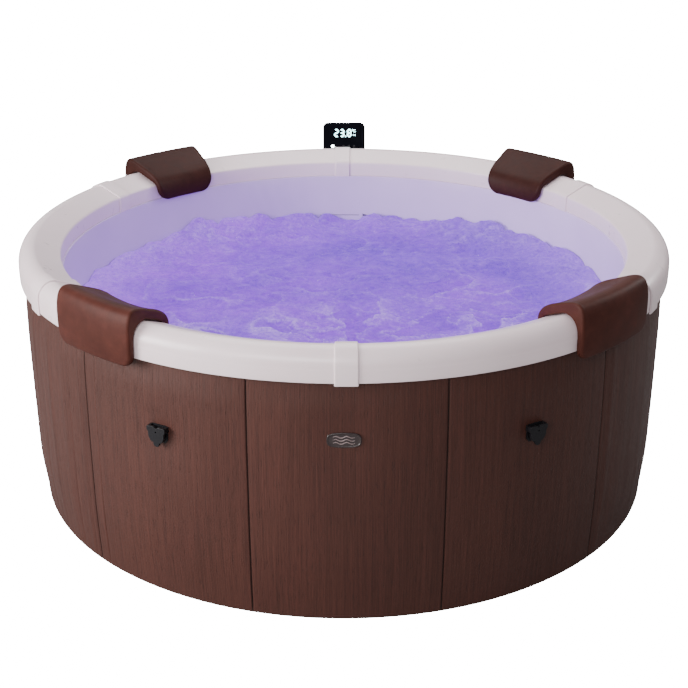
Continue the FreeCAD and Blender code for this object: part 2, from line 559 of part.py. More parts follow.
# ================================================================ pump and heater unit
ux, uy, ud, uw = -(D["unit_width"] / 2), D["unit_front"], D["unit_depth"], D["unit_width"]
wall = D["unit_wall"]
low, high, roof = D["base_high"], D["unit_top"], D["cover_top"]
half = D["unit_depth"] / 2


def upright(e):
    return abs(e.BoundBox.ZLength - e.Length) < 1e-3 and e.Length > 10.0


def corner_edge(xs, ys):
    def test(e):
        b = e.BoundBox
        return upright(e) and any(abs(b.XMin - x) < 0.01 for x in xs) and any(abs(b.YMin - y) < 0.01 for y in ys)
    return test


x_lo, x_hi = -V["unit_width"] / 2, V["unit_width"] / 2
y_lo, y_hi = V["unit_front"], V["unit_front"] + V["unit_depth"]
base = softened("UnitBase", block("UnitBaseBlock", uw, ud, D["base_high"] - D["base_low"], (ux, uy, D["base_low"])), 24.0, corner_edge((x_lo, x_hi), (y_lo, y_hi)))
keep(base, "unit_base")
keep(shaped("UnitFeet", Part.makeCompound([Part.makeCone(V["foot_radius"] - 2.0, V["foot_radius"], V["base_low"], Vector(sx * (x_hi - 42.0), sy, 0), Vector(0, 0, 1))
                                           for sx in (-1, 1) for sy in (y_lo + 42.0, y_hi - 42.0)])), "unit_feet")

# front shell: the half beside the tub
fs_out = softened("UnitFrontOuter", block("UnitFrontBlock", uw, half - 0.1, high - low, (ux, uy, low)), 24.0, corner_edge((x_lo, x_hi), (y_lo,)))
fs_in = softened("UnitFrontInner", block("UnitFrontVoid", uw - wall * 2, half + 20.0, high - low, (ux + wall, uy + wall, low + wall)), 20.0,
                 corner_edge((x_lo + V["unit_wall"], x_hi - V["unit_wall"]), (y_lo + V["unit_wall"],)))
front = cut("UnitFrontShell", joined("UnitFrontWithPosts", [cut("UnitFrontHollow", fs_out, [fs_in])] + [
    common("FrontPost%d" % k, fs_out, block("FrontPostBlock%d" % k, 34.0, 34.0, 60.0, (x, uy, high - 60.0))) for k, x in enumerate((ux, x_hi - 34.0))]), [
    rod("FrontSuctionHole", D["pipe_radius"] + 1.0, 30.0, (0.0, uy - 10.0, D["port_suction"])),
    rod("FrontReturnHole", D["pipe_radius"] + 1.0, 30.0, (D["return_side"], uy - 10.0, D["port_return"])),
    rod("FrontAirHole", D["air_radius"] + 1.0, 30.0, (0.0, uy - 10.0, D["port_air"]))] + [
    rod("FrontPilot%d" % k, 2.1, 30.0, (sx * (x_hi - 22.0), uy + 22.0, high - 29.0), "Z") for k, sx in enumerate((-1, 1))])
keep(front, "unit_front_shell")

# rear shell: louvres and the power gland's hole
rs_out = softened("UnitRearOuter", block("UnitRearBlock", uw, half - 0.1, high - low, (ux, uy + half + 0.1, low)), 24.0, corner_edge((x_lo, x_hi), (y_hi,)))
rs_in = softened("UnitRearInner", block("UnitRearVoid", uw - wall * 2, half + 19.9 - wall, high - low, (ux + wall, uy + half - 19.9, low + wall)), 20.0,
                 corner_edge((x_lo + V["unit_wall"], x_hi - V["unit_wall"]), (y_hi - V["unit_wall"],)))
louvres = [block("Louvre%d" % k, 200.0, 20.0, 7.0, (-100.0, uy + ud - 10.0, 380.0 + 18.0 * k)) for k in range(9)]
rear = cut("UnitRearShell", joined("UnitRearWithPosts", [cut("UnitRearHollow", rs_out, [rs_in])] + [
    common("RearPost%d" % k, rs_out, block("RearPostBlock%d" % k, 34.0, 34.0, 60.0, (x, uy + ud - 34.0, high - 60.0))) for k, x in enumerate((ux, x_hi - 34.0))]),
    louvres + [rod("GlandHole", 11.5, 30.0, (120.0, uy + ud - 15.0, 90.0))] + [
    rod("RearPilot%d" % k, 2.1, 30.0, (sx * (x_hi - 22.0), uy + ud - 22.0, high - 29.0), "Z") for k, sx in enumerate((-1, 1))])
keep(rear, "unit_rear_shell")

# top cover with two hinge ears for the screen
tc_out = softened("UnitTopOuter", block("UnitTopBlock", uw, ud, roof - high, (ux, uy, high)), 24.0, corner_edge((x_lo, x_hi), (y_lo, y_hi)))
tc_round = softened("UnitTopRounded", tc_out, 9.0, lambda e: e.BoundBox.ZMin > V["cover_top"] - 0.01)
ears = []
for k, sx in enumerate((-1, 1)):
    x = 42.0 if sx > 0 else -56.0
    ears += [rod("EarRound%d" % k, 11.0, 14.0, (x, D["hinge_y"], D["hinge_z"]), "X"),
             block("EarFoot%d" % k, 14.0, 22.0, D["hinge_z"] - roof + 4.0, (x, D["hinge_y"] - 11.0, roof - 4.0))]
screw_at = [(sx * (x_hi - 22.0), y) for sx in (-1, 1) for y in (y_lo + 22.0, y_hi - 22.0)]
top = cut("UnitTopCover", joined("UnitTopWithEars", [cut("UnitTopHollow", tc_round, [
    block("UnitTopVoid", uw - 100.0, ud - 100.0, roof - high - 5.0, (ux + 50.0, uy + 50.0, high - 1.0))])] + ears),
    [rod("EarBore", D["hinge_pin"] + 0.05, 130.0, (-65.0, D["hinge_y"], D["hinge_z"]), "X")] +
    [rod("CoverHole%d" % k, 2.6, 60.0, (x, y, high - 5.0), "Z") for k, (x, y) in enumerate(screw_at)] +
    [rod("CoverSink%d" % k, 5.2, 60.0, (x, y, roof - 7.0), "Z") for k, (x, y) in enumerate(screw_at)])
keep(top, "unit_top_cover")
doc.recompute()
screws = []
for x, y in screw_at:
    s = Part.makeCylinder(4.8, 4.0, Vector(x, y, V["cover_top"] - 6.9), Vector(0, 0, 1)).fuse(
        Part.makeCylinder(2.0, 42.0, Vector(x, y, V["cover_top"] - 6.9 - 41.0), Vector(0, 0, 1)))
    s = s.cut(Part.makeBox(6.0, 1.2, 2.0, Vector(x - 3.0, y - 0.6, V["cover_top"] - 4.2))).cut(
        Part.makeBox(1.2, 6.0, 2.0, Vector(x - 0.6, y - 3.0, V["cover_top"] - 4.2)))
    screws.append(s.removeSplitter())
keep(shaped("UnitScrews", Part.makeCompound(screws)), "unit_screws")

# screen: a slab on a hinge barrel, leaning back from the tub
lean = Placement(Vector(0, V["hinge_y"], V["hinge_z"]), Rotation(Vector(1, 0, 0), -V["screen_lean"]))
sw, sh, st, ss = D["screen_width"], D["screen_height"], D["screen_thick"], D["screen_start"]
slab = padded("ScreenSlab", "XZ_Plane", [(-(sw / 2), ss), (sw / 2, ss), (sw / 2, ss + sh), (-(sw / 2), ss + sh)], st, both=True)
rounded(slab, "ScreenSlab_top_corners", 18.0, lambda e: abs(e.Length - V["screen_thick"]) < 1e-3 and e.BoundBox.ZMin > V["screen_start"] + 10)
rounded(slab, "ScreenSlab_low_corners", 8.0, lambda e: abs(e.Length - V["screen_thick"]) < 1e-3 and e.BoundBox.ZMax < V["screen_start"] + 10)
rounded(slab, "ScreenSlab_rear_edge", 5.0, lambda e: e.BoundBox.YMin > V["screen_thick"] / 2 - 0.01)
neck = block("ScreenNeck", 80.0, 18.0, 30.0, (-40.0, -9.0, 0.0))
barrel = rod("ScreenBarrel", 10.5, 80.0, (-40.0, 0.0, 0.0), "X")
screen = cut("ScreenHousing", joined("ScreenSolid", [slab, neck, barrel]), [rod("ScreenBore", D["hinge_pin"] + 0.06, 120.0, (-60.0, 0.0, 0.0), "X")])
screen.Placement = lean
keep(screen, "display_housing")
glass = padded("ScreenGlass", "XZ_Plane", [(-(sw / 2) + 2.0, ss + 2.0), (sw / 2 - 2.0, ss + 2.0), (sw / 2 - 2.0, ss + sh - 2.0), (-(sw / 2) + 2.0, ss + sh - 2.0)], 2.0)
rounded(glass, "ScreenGlass_top_corners", 16.0, lambda e: abs(e.Length - 2.0) < 1e-3 and e.BoundBox.ZMin > V["screen_start"] + 10)
rounded(glass, "ScreenGlass_low_corners", 6.0, lambda e: abs(e.Length - 2.0) < 1e-3 and e.BoundBox.ZMax < V["screen_start"] + 10)
doc.recompute()
gb = glass.Shape.BoundBox
glass.Placement = lean.multiply(Placement(Vector(0, -V["screen_thick"] / 2 - gb.YMax, 0), Rotation()))
keep(glass, "display_glass")
keep(rod("ScreenPin", D["hinge_pin"], 110.0, (-55.0, D["hinge_y"], D["hinge_z"]), "X"), "display_hinge_pin")

# pump: volute and motor in line with the suction port
py0 = 1000.0
pz = D["port_suction"]
pump = cut("PumpHousing", joined("PumpBody", [
    rod("PumpVolute", 60.0, 44.0, (0.0, py0, pz)),
    rod("PumpMotor", 50.0, 122.0, (0.0, py0 + 44.0, pz)),
    rod("PumpRearBell", 42.0, 14.0, (0.0, py0 + 166.0, pz)),
    rod("PumpOutlet", 17.0, 84.0, (D["return_side"], py0 + 22.0, pz), "Z"),
    block("PumpFoot", 90.0, 80.0, 115.0, (-45.0, py0 + 62.0, D["base_high"] + wall)),
    ]), [
    rod("PumpChamber", 49.0, 30.0, (0.0, py0 + 7.0, pz)),
    rod("PumpInlet", D["pipe_bore"], 30.0, (0.0, py0 - 5.0, pz)),
    rod("PumpOutletBore", 12.0, 100.0, (D["return_side"], py0 + 22.0, pz), "Z"),
    rod("PumpShaftBore", 5.05, 150.0, (0.0, py0 + 20.0, pz))])
keep(pump, "pump_housing")
doc.recompute()
rotor = Part.makeCylinder(46.0, 4.0, Vector(0, py0 + 28.0, V["port_suction"]), Vector(0, 1, 0))
rotor = rotor.fuse(Part.makeCylinder(12.0, 14.0, Vector(0, py0 + 16.0, V["port_suction"]), Vector(0, 1, 0)))
rotor = rotor.fuse(Part.makeCylinder(5.0, 135.0, Vector(0, py0 + 28.0, V["port_suction"]), Vector(0, 1, 0)))
for k in range(6):
    blade = Part.makeBox(34.0, 13.0, 3.0, Vector(11.0, py0 + 16.0, V["port_suction"] - 1.5))
    blade.rotate(Vector(11.0, 0, V["port_suction"]), Vector(0, 1, 0), 18.0)
    blade.rotate(Vector(0, 0, V["port_suction"]), Vector(0, 1, 0), 60.0 * k)
    rotor = rotor.fuse(blade)
keep(shaped("PumpRotor", rotor.removeSplitter()), "pump_rotor")


def stub(name, label, x, z, radius, collar, bore, y_end):
    keep(cut(name, joined(name + "Body", [rod(name + "Tube", radius, y_end - V["stub_start"], (x, D["stub_start"], z)),
                                          rod(name + "Collar", collar, 7.5, (x, D["stub_start"], z))]),
             [rod(name + "Bore", bore, 120.0, (x, D["stub_start"] - 10.0, z))]), label)


stub("SuctionPipe", "suction_pipe", 0.0, D["port_suction"], D["pipe_radius"], D["thread_radius"] - 0.1, D["pipe_bore"], 999.8)

# heater: a sealed tube above the pump, fed from below and emptying to the return port
hz, hx = D["port_return"], D["return_side"]
heater = cut("Heater", joined("HeaterBody", [
    rod("HeaterStub", D["pipe_radius"], 50.0, (hx, D["stub_start"], hz)),
    rod("HeaterCollar", D["thread_radius"] - 0.1, 7.5, (hx, D["stub_start"], hz)),
    rod("HeaterTube", 32.0, 196.0, (hx, 962.0, hz)),
    rod("HeaterFlangeFront", 38.0, 8.0, (hx, 956.0, hz)),
    rod("HeaterFlangeRear", 38.0, 8.0, (hx, 1154.0, hz)),
    rod("HeaterFeed", 17.0, hz - pz - 84.2, (hx, py0 + 22.0, pz + 84.2), "Z")]),
    [rod("HeaterStubBore", D["pipe_bore"], 60.0, (hx, D["stub_start"] - 5.0, hz)),
     rod("HeaterInside", 28.0, 186.0, (hx, 967.0, hz)),
     rod("HeaterFeedBore", 12.0, 60.0, (hx, py0 + 22.0, pz + 60.0), "Z")])
keep(heater, "heater")

# blower: scroll housing with a fan wheel; its pipe drops to the air port
bxc, byc, bzc = -62.0, 1090.0, 470.0
blow = cut("BlowerHousing", joined("BlowerBody", [
    rod("BlowerScroll", 78.0, 62.0, (bxc, byc, bzc)),
    rod("BlowerMotor", 34.0, 40.0, (bxc, byc + 62.0, bzc)),
    rod("BlowerOutlet", 16.0, 104.0, (bxc - 58.0, byc + 31.0, bzc - 104.0), "Z"),
    block("BlowerPost", 20.0, 40.0, 380.0, (bxc - 42.0, byc + 8.0, D["base_high"] + wall))]),
    [rod("BlowerChamber", 72.0, 54.0, (bxc, byc + 4.0, bzc)),
     rod("BlowerIntake", 30.0, 20.0, (bxc, byc - 10.0, bzc)),
     rod("BlowerOutletBore", 12.5, 110.0, (bxc - 58.0, byc + 31.0, bzc - 105.0), "Z"),
     rod("BlowerShaftBore", 4.05, 60.0, (bxc, byc + 30.0, bzc))])
keep(blow, "blower_housing")
doc.recompute()
fan = Part.makeCylinder(66.0, 3.0, Vector(bxc, byc + 50.0, bzc), Vector(0, 1, 0))
fan = fan.fuse(Part.makeCylinder(14.0, 30.0, Vector(bxc, byc + 22.0, bzc), Vector(0, 1, 0)))
fan = fan.fuse(Part.makeCylinder(4.0, 40.0, Vector(bxc, byc + 48.0, bzc), Vector(0, 1, 0)))
for k in range(18):
    blade = Part.makeBox(14.0, 40.0, 2.0, Vector(bxc + 51.0, byc + 11.0, bzc - 1.0))
    blade.rotate(Vector(bxc + 51.0, 0, bzc), Vector(0, 1, 0), -28.0)
    blade.rotate(Vector(bxc, 0, bzc), Vector(0, 1, 0), 20.0 * k)
    fan = fan.fuse(blade)
keep(shaped("BlowerFan", fan.removeSplitter()), "blower_fan")

# air pipe: down from the blower, across under the pump and out to the wall
ax, ay, az = bxc - 58.0, byc + 31.0, bzc - 104.2
r = 32.0
zp, ys = V["port_air"], V["stub_start"]
P0, P1 = Vector(ax, ay, az), Vector(ax, ay, zp + r)
k = r * (1 - math.sqrt(0.5))
arc1 = Part.Arc(P1, Vector(ax, ay - k, zp + k), Vector(ax, ay - r, zp))
P2, P3 = Vector(ax, ay - r, zp), Vector(ax, 970.0 + r, zp)
arc2 = Part.Arc(P3, Vector(ax + k, 970.0 + k, zp), Vector(ax + r, 970.0, zp))
P4, P5 = Vector(ax + r, 970.0, zp), Vector(-r, 970.0, zp)
arc3 = Part.Arc(P5, Vector(-k, 970.0 - k, zp), Vector(0, 970.0 - r, zp))
P6, P7 = Vector(0, 970.0 - r, zp), Vector(0, ys, zp)
path = Part.Wire([Part.LineSegment(P0, P1).toShape(), arc1.toShape(), Part.LineSegment(P2, P3).toShape(), arc2.toShape(),
                  Part.LineSegment(P4, P5).toShape(), arc3.toShape(), Part.LineSegment(P6, P7).toShape()])


def swept(radius):
    ring_ = Part.Wire([Part.makeCircle(radius, P0, Vector(0, 0, 1))])
    return path.makePipeShell([ring_], True, True)


air = swept(V["air_radius"]).fuse(Part.makeCylinder(V["air_thread"] - 0.1, 7.5, P7, Vector(0, 1, 0))).cut(swept(V["air_bore"]))
keep(shaped("AirPipe", air.removeSplitter()), "air_pipe")

# control board on its bracket, and the power gland in the rear shell
cb = Part.makeBox(4.0, 130.0, 170.0, Vector(150.0, 1085.0, 380.0))
for x0, y0, z0, lx, ly, lz in ((122, 1094, 400, 29, 40, 36), (128, 1145, 398, 23, 30, 30), (134, 1180, 400, 17, 26, 60), (136, 1094, 460, 15, 60, 40),
                               (140, 1165, 480, 11, 40, 40), (130, 1100, 515, 21, 22, 22), (130, 1130, 515, 21, 22, 22)):
    cb = cb.fuse(Part.makeBox(lx, ly, lz, Vector(x0, y0, z0)))
for y0, z0 in ((1092, 388), (1192, 388), (1092, 542), (1192, 542)):  # standoffs to the rear shell's side
    cb = cb.fuse(Part.makeCylinder(4.0, 32.0, Vector(154.0, y0, z0), Vector(1, 0, 0)))
keep(shaped("ControlBoard", cb.removeSplitter()), "control_board")
gy = y_hi
gland = Part.makeCylinder(11.0, 24.0, Vector(120.0, gy - 12.0, 90.0), Vector(0, 1, 0)).fuse(
    Part.makeCylinder(16.0, 7.0, Vector(120.0, gy + 0.1, 90.0), Vector(0, 1, 0))).fuse(
    Part.makeCone(15.0, 9.0, 14.0, Vector(120.0, gy + 7.1, 90.0), Vector(0, 1, 0))).fuse(
    Part.makeCylinder(16.0, 6.0, Vector(120.0, gy - 10.1, 90.0), Vector(0, 1, 0))).cut(
    Part.makeCylinder(4.6, 80.0, Vector(120.0, gy - 30.0, 90.0), Vector(0, 1, 0)))
keep(shaped("PowerGland", gland.removeSplitter()), "power_gland")

# ================================================================ check and export
doc.recompute()
problems = []
for o in doc.Objects:
    if any(s in ("Invalid", "Error") for s in o.State):
        problems.append("%s (%s): %s" % (o.Name, o.Label, o.State))
for label, o in parts.items():
    s = o.Shape
    if s.isNull() or not s.isValid() or not s.Solids or s.Volume <= 0:
        problems.append("%s has no good solid" % label)
if problems:
    raise RuntimeError("; ".join(problems))
os.makedirs("parts", exist_ok=True)
for f in os.listdir("parts"):
    if f.endswith(".step") and f[:-5] not in parts:
        os.remove(os.path.join("parts", f))
for label, o in parts.items():
    o.Shape.exportStep(os.path.join("parts", label + ".step"))
print("nodes", len(parts), {k: (len(o.Shape.Solids), round(o.Shape.Volume / 1000.0, 1)) for k, o in parts.items()})
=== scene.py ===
import math

import bpy
import bmesh
import numpy as np
from mathutils import Matrix, Vector, noise


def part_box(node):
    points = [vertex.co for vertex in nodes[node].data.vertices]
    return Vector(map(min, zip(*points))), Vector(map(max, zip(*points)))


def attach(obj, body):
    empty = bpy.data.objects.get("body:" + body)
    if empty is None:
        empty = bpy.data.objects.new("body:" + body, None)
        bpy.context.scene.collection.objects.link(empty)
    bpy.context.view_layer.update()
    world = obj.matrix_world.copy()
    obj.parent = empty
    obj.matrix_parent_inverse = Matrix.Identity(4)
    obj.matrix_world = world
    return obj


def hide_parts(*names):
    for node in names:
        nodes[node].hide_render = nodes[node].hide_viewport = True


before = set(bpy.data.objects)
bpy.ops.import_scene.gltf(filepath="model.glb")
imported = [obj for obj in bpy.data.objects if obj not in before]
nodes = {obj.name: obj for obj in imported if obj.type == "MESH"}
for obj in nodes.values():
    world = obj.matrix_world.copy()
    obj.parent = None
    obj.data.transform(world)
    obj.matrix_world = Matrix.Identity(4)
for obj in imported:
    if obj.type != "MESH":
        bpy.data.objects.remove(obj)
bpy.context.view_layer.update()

scene = bpy.context.scene


# ------------------------------------------------------------------ geometry helpers
def polar(r, a, z):
    """A point from its radius, its angle in degrees from the front (-Y) and its height, all in metres."""
    t = np.radians(a)
    return np.stack(np.broadcast_arrays(r * np.sin(t), -r * np.cos(t), z), -1)


def link(o):
    scene.collection.objects.link(o)
    return o


def finish_mesh(me, smooth=True, angle=None):
    me.validate()
    me.update()
    if smooth:
        me.polygons.foreach_set("use_smooth", [True] * len(me.polygons))
    if angle is not None:
        me.set_sharp_from_angle(angle=math.radians(angle))
    return me


def grid(name, P, wrap_u=False, wrap_v=False, us=None, vs=None, flip=False, attrs=None, angle=None):
    """A mesh from a grid of points; us and vs are its texture coordinates in metres along each way."""
    nu, nv = P.shape[:2]
    U, W = (nu if wrap_u else nu - 1), (nv if wrap_v else nv - 1)
    i, j = np.meshgrid(np.arange(U), np.arange(W), indexing="ij")
    i2, j2 = (i + 1) % nu, (j + 1) % nv
    quads = np.stack([i * nv + j, i2 * nv + j, i2 * nv + j2, i * nv + j2], -1).reshape(-1, 4)
    if flip:
        quads = quads[:, ::-1]
    me = bpy.data.meshes.new(name)
    me.from_pydata(P.reshape(-1, 3).tolist(), [], quads.tolist())
    if us is not None:
        us, vs = np.asarray(us, float), np.asarray(vs, float)
        ii = np.stack([i, i + 1, i + 1, i], -1).reshape(-1, 4)
        jj = np.stack([j, j, j + 1, j + 1], -1).reshape(-1, 4)
        if flip:
            ii, jj = ii[:, ::-1], jj[:, ::-1]
        uv = np.stack([us[ii], vs[jj]], -1).reshape(-1)
        me.uv_layers.new(name="UVMap").data.foreach_set("uv", uv.astype(np.float32))
    for key, val in (attrs or {}).items():
        me.attributes.new(key, "FLOAT", "POINT").data.foreach_set("value", np.asarray(val, np.float32).reshape(-1))
    finish_mesh(me, True, angle)
    return link(bpy.data.objects.new(name, me))


def sweep(name, profiles, angles, us=None, caps=True, angle=35):
    """Closed profiles (one per angle, each k points of radius and height) carried round the tub's axis."""
    P = np.stack([polar(pr[:, 0], a, pr[:, 1]) for pr, a in zip(profiles, angles)])
    n, k = P.shape[:2]
    quads = [(i * k + j, i * k + (j + 1) % k, (i + 1) * k + (j + 1) % k, (i + 1) * k + j) for i in range(n - 1) for j in range(k)]
    faces = list(quads)
    if caps:
        faces += [tuple(range(k))[::-1], tuple((n - 1) * k + j for j in range(k))]
    me = bpy.data.meshes.new(name)
    me.from_pydata(P.reshape(-1, 3).tolist(), [], faces)
    bm = bmesh.new()
    bm.from_mesh(me)
    bmesh.ops.recalc_face_normals(bm, faces=bm.faces)
    bm.to_mesh(me)
    bm.free()
    finish_mesh(me, True, angle)
    return link(bpy.data.objects.new(name, me))


def arc(cx, cz, r, a0, a1, n):
    t = np.radians(np.linspace(a0, a1, n))
    return np.stack([cx + r * np.cos(t), cz + r * np.sin(t)], -1)


def spline(pts, n):
    """Points along a smooth curve through pts (Catmull-Rom, by chord length), evenly spaced."""
    p = np.asarray(pts, float)
    d = np.sqrt((np.diff(p, axis=0) ** 2).sum(1)) ** 0.5
    t = np.concatenate([[0], np.cumsum(d)])
    m = np.zeros_like(p)
    m[1:-1] = (p[2:] - p[:-2]) / (t[2:] - t[:-2])[:, None]
    m[0], m[-1] = (p[1] - p[0]) / (t[1] - t[0]), (p[-1] - p[-2]) / (t[-1] - t[-2])

    def at(x):
        i = np.clip(np.searchsorted(t, x, side="right") - 1, 0, len(t) - 2)
        h = (t[i + 1] - t[i])[:, None]
        s = ((x - t[i]) / (t[i + 1] - t[i]))[:, None]
        return ((2 * s ** 3 - 3 * s ** 2 + 1) * p[i] + (s ** 3 - 2 * s ** 2 + s) * h * m[i] +
                (-2 * s ** 3 + 3 * s ** 2) * p[i + 1] + (s ** 3 - s ** 2) * h * m[i + 1])

    fine = np.linspace(0, t[-1], 40 * n)
    q = at(fine)
    s = np.concatenate([[0], np.cumsum(np.sqrt((np.diff(q, axis=0) ** 2).sum(1)))])
    return at(np.interp(np.linspace(0, s[-1], n), s, fine))


def bump_at(x, centre, width):
    return np.exp(-((x - centre) / width) ** 2)


# ------------------------------------------------------------------ material helpers
def node(nt, kind, props=None, **ins):
    n = nt.nodes.new(kind)
    for k, v in (props or {}).items():
        setattr(n, k, v)
    for k, v in ins.items():
        sock = n.inputs[int(k[1:])] if k[0] == "i" and k[1:].isdigit() else n.inputs[k.replace("_", " ")]
        if isinstance(v, bpy.types.NodeSocket):
            nt.links.new(v, sock)
        else:
            sock.default_value = v
    return n


def new_material(name):
    m = bpy.data.materials.new(name)
    m.use_nodes = True
    return m, m.node_tree, m.node_tree.nodes["Principled BSDF"]


def coords(nt, kind, scale, warp=None):
    tc = node(nt, "ShaderNodeTexCoord")
    v = tc.outputs[kind]
    if warp:
        wscale, amount = warp
        w = node(nt, "ShaderNodeMapping", Vector=v, Scale=wscale)
        wn = node(nt, "ShaderNodeTexNoise", Vector=w.outputs[0], Scale=1.0, Detail=2.0)
        off = node(nt, "ShaderNodeVectorMath", {"operation": "SUBTRACT"}, i0=wn.outputs["Color"], i1=(0.5, 0.5, 0.5))
        sc = node(nt, "ShaderNodeVectorMath", {"operation": "MULTIPLY"}, i0=off.outputs[0], i1=amount)
        v = node(nt, "ShaderNodeVectorMath", {"operation": "ADD"}, i0=v, i1=sc.outputs[0]).outputs[0]
    return node(nt, "ShaderNodeMapping", Vector=v, Scale=scale).outputs[0]


def noise_fac(nt, vec, detail=3.0, rough=0.5, scale=1.0):
    return node(nt, "ShaderNodeTexNoise", Vector=vec, Scale=scale, Detail=detail, Roughness=rough).outputs["Fac"]


def ramp(nt, fac, stops):
    n = node(nt, "ShaderNodeValToRGB", Fac=fac)
    e = n.color_ramp.elements
    while len(e) < len(stops):
        e.new(0.5)
    for el, (pos, col) in zip(e, stops):
        el.position = pos
        el.color = (*col, 1.0) if len(col) == 3 else col
    return n.outputs["Color"]


def maths(nt, op, a, b=None, clamp=False):
    n = node(nt, "ShaderNodeMath", {"operation": op, "use_clamp": clamp}, i0=a)
    if b is not None:
        if isinstance(b, bpy.types.NodeSocket):
            nt.links.new(b, n.inputs[1])
        else:
            n.inputs[1].default_value = b
    return n.outputs[0]


def mix(nt, fac, a, b, blend="MIX"):
    n = nt.nodes.new("ShaderNodeMix")
    n.data_type = "RGBA"
    n.blend_type = blend
    for sock, v in ((n.inputs[0], fac), (n.inputs[6], a), (n.inputs[7], b)):
        if isinstance(v, bpy.types.NodeSocket):
            nt.links.new(v, sock)
        elif sock == n.inputs[0]:
            sock.default_value = v
        else:
            sock.default_value = (*v, 1.0) if len(v) == 3 else v
    return n.outputs[2]


def bump(nt, bsdf, height, distance, strength=1.0, normal=None):
    b = node(nt, "ShaderNodeBump", Strength=strength, Distance=distance, Height=height)
    if normal is not None:
        nt.links.new(normal, b.inputs["Normal"])
    nt.links.new(b.outputs[0], bsdf.inputs["Normal"])
    return b.outputs[0]


def attribute(nt, name):
    n = node(nt, "ShaderNodeAttribute", {"attribute_name": name})
    return n.outputs["Fac"]


def plastic(name, color, rough=0.45, grain=900.0, depth=0.00008, vary=0.06, coat=0.0, metal=0.0, spec=0.5):
    """Moulded plastic: a little tone and gloss variation and a fine moulded texture."""
    m, nt, b = new_material(name)
    v = coords(nt, "Object", (1, 1, 1))
    tone = noise_fac(nt, v, 4.0, 0.6, 9.0)
    dark, light = tuple(c * (1 - vary) for c in color), tuple(min(c * (1 + vary), 1) for c in color)
    nt.links.new(ramp(nt, tone, [(0.3, dark), (0.7, light)]), b.inputs["Base Color"])
    smear = noise_fac(nt, v, 5.0, 0.65, 35.0)
    nt.links.new(node(nt, "ShaderNodeMapRange", Value=smear, To_Min=rough - 0.05, To_Max=rough + 0.08).outputs[0], b.inputs["Roughness"])
    b.inputs["Coat Weight"].default_value = coat
    b.inputs["Metallic"].default_value = metal
    b.inputs["Specular IOR Level"].default_value = spec
    bump(nt, b, noise_fac(nt, v, 2.0, 0.5, grain), depth)
    return m


def dress(material, *names):
    """Gives CAD nodes a finished material."""
    for n in names:
        o = nodes[n]
        if o.data.materials:
            for i in range(len(o.data.materials)):
                o.data.materials[i] = material
        else:
            o.data.materials.append(material)


def wear(o, material):
    o.data.materials.clear()
    o.data.materials.append(material)
    return o


def soften(name, width, segments=2):
    """A small machined radius on a CAD node's sharp edges."""
    m = nodes[name].modifiers.new("edge", "BEVEL")
    m.width, m.segments, m.limit_method, m.angle_limit = width, segments, "ANGLE", math.radians(40)
    m.harden_normals = False


# ------------------------------------------------------------------ materials
def wood_leatherette():
    m, nt, b = new_material("jacket_wood_leatherette")
    warp = ((3.2, 1.3, 1.0), (0.012, 0.0, 0.0))
    broad = noise_fac(nt, coords(nt, "UV", (95, 1.6, 1), warp), 6.0, 0.62)
    streak = noise_fac(nt, coords(nt, "UV", (290, 3.2, 1), warp), 4.0, 0.6)
    fine = noise_fac(nt, coords(nt, "UV", (640, 9.0, 1), warp), 3.0, 0.6)
    pore = noise_fac(nt, coords(nt, "UV", (430, 22.0, 1), warp), 2.0, 0.5)
    tone = noise_fac(nt, coords(nt, "UV", (4.5, 0.9, 1)), 2.0, 0.5)
    base = ramp(nt, broad, [(0.25, (0.0475, 0.0152, 0.0107)), (0.5, (0.0570, 0.0186, 0.0131)), (0.75, (0.0675, 0.0223, 0.0160))])
    lines = ramp(nt, streak, [(0.30, (0.78, 0.76, 0.75)), (0.5, (1.0, 1.0, 1.0)), (0.72, (1.15, 1.16, 1.17))])
    col = mix(nt, 1.0, base, lines, "MULTIPLY")
    col = mix(nt, 1.0, col, ramp(nt, fine, [(0.30, (0.74, 0.72, 0.71)), (0.5, (1.0, 1.0, 1.0)), (0.70, (1.15, 1.14, 1.14))]), "MULTIPLY")
    pores = node(nt, "ShaderNodeMapRange", {"clamp": True}, Value=pore, From_Min=0.60, From_Max=0.72, To_Min=0.0, To_Max=1.0).outputs[0]
    col = mix(nt, maths(nt, "MULTIPLY", pores, 0.38), col, (0.012, 0.005, 0.004))
    col = mix(nt, 1.0, col, ramp(nt, tone, [(0.25, (0.86, 0.84, 0.84)), (0.75, (1.12, 1.12, 1.12))]), "MULTIPLY")
    groove = attribute(nt, "groove")
    col = mix(nt, maths(nt, "MULTIPLY", groove, 0.93, True), col, (0.004, 0.0018, 0.0015))
    nt.links.new(col, b.inputs["Base Color"])
    r = node(nt, "ShaderNodeMapRange", Value=fine, From_Min=0.3, From_Max=0.7, To_Min=0.56, To_Max=0.46).outputs[0]
    nt.links.new(r, b.inputs["Roughness"])
    b.inputs["Specular IOR Level"].default_value = 0.34
    h = maths(nt, "ADD", maths(nt, "MULTIPLY", streak, 0.6), maths(nt, "MULTIPLY", fine, 0.5))
    h = maths(nt, "SUBTRACT", h, maths(nt, "MULTIPLY", pores, 0.5))
    bump(nt, b, h, 0.0011, 0.9)
    return m


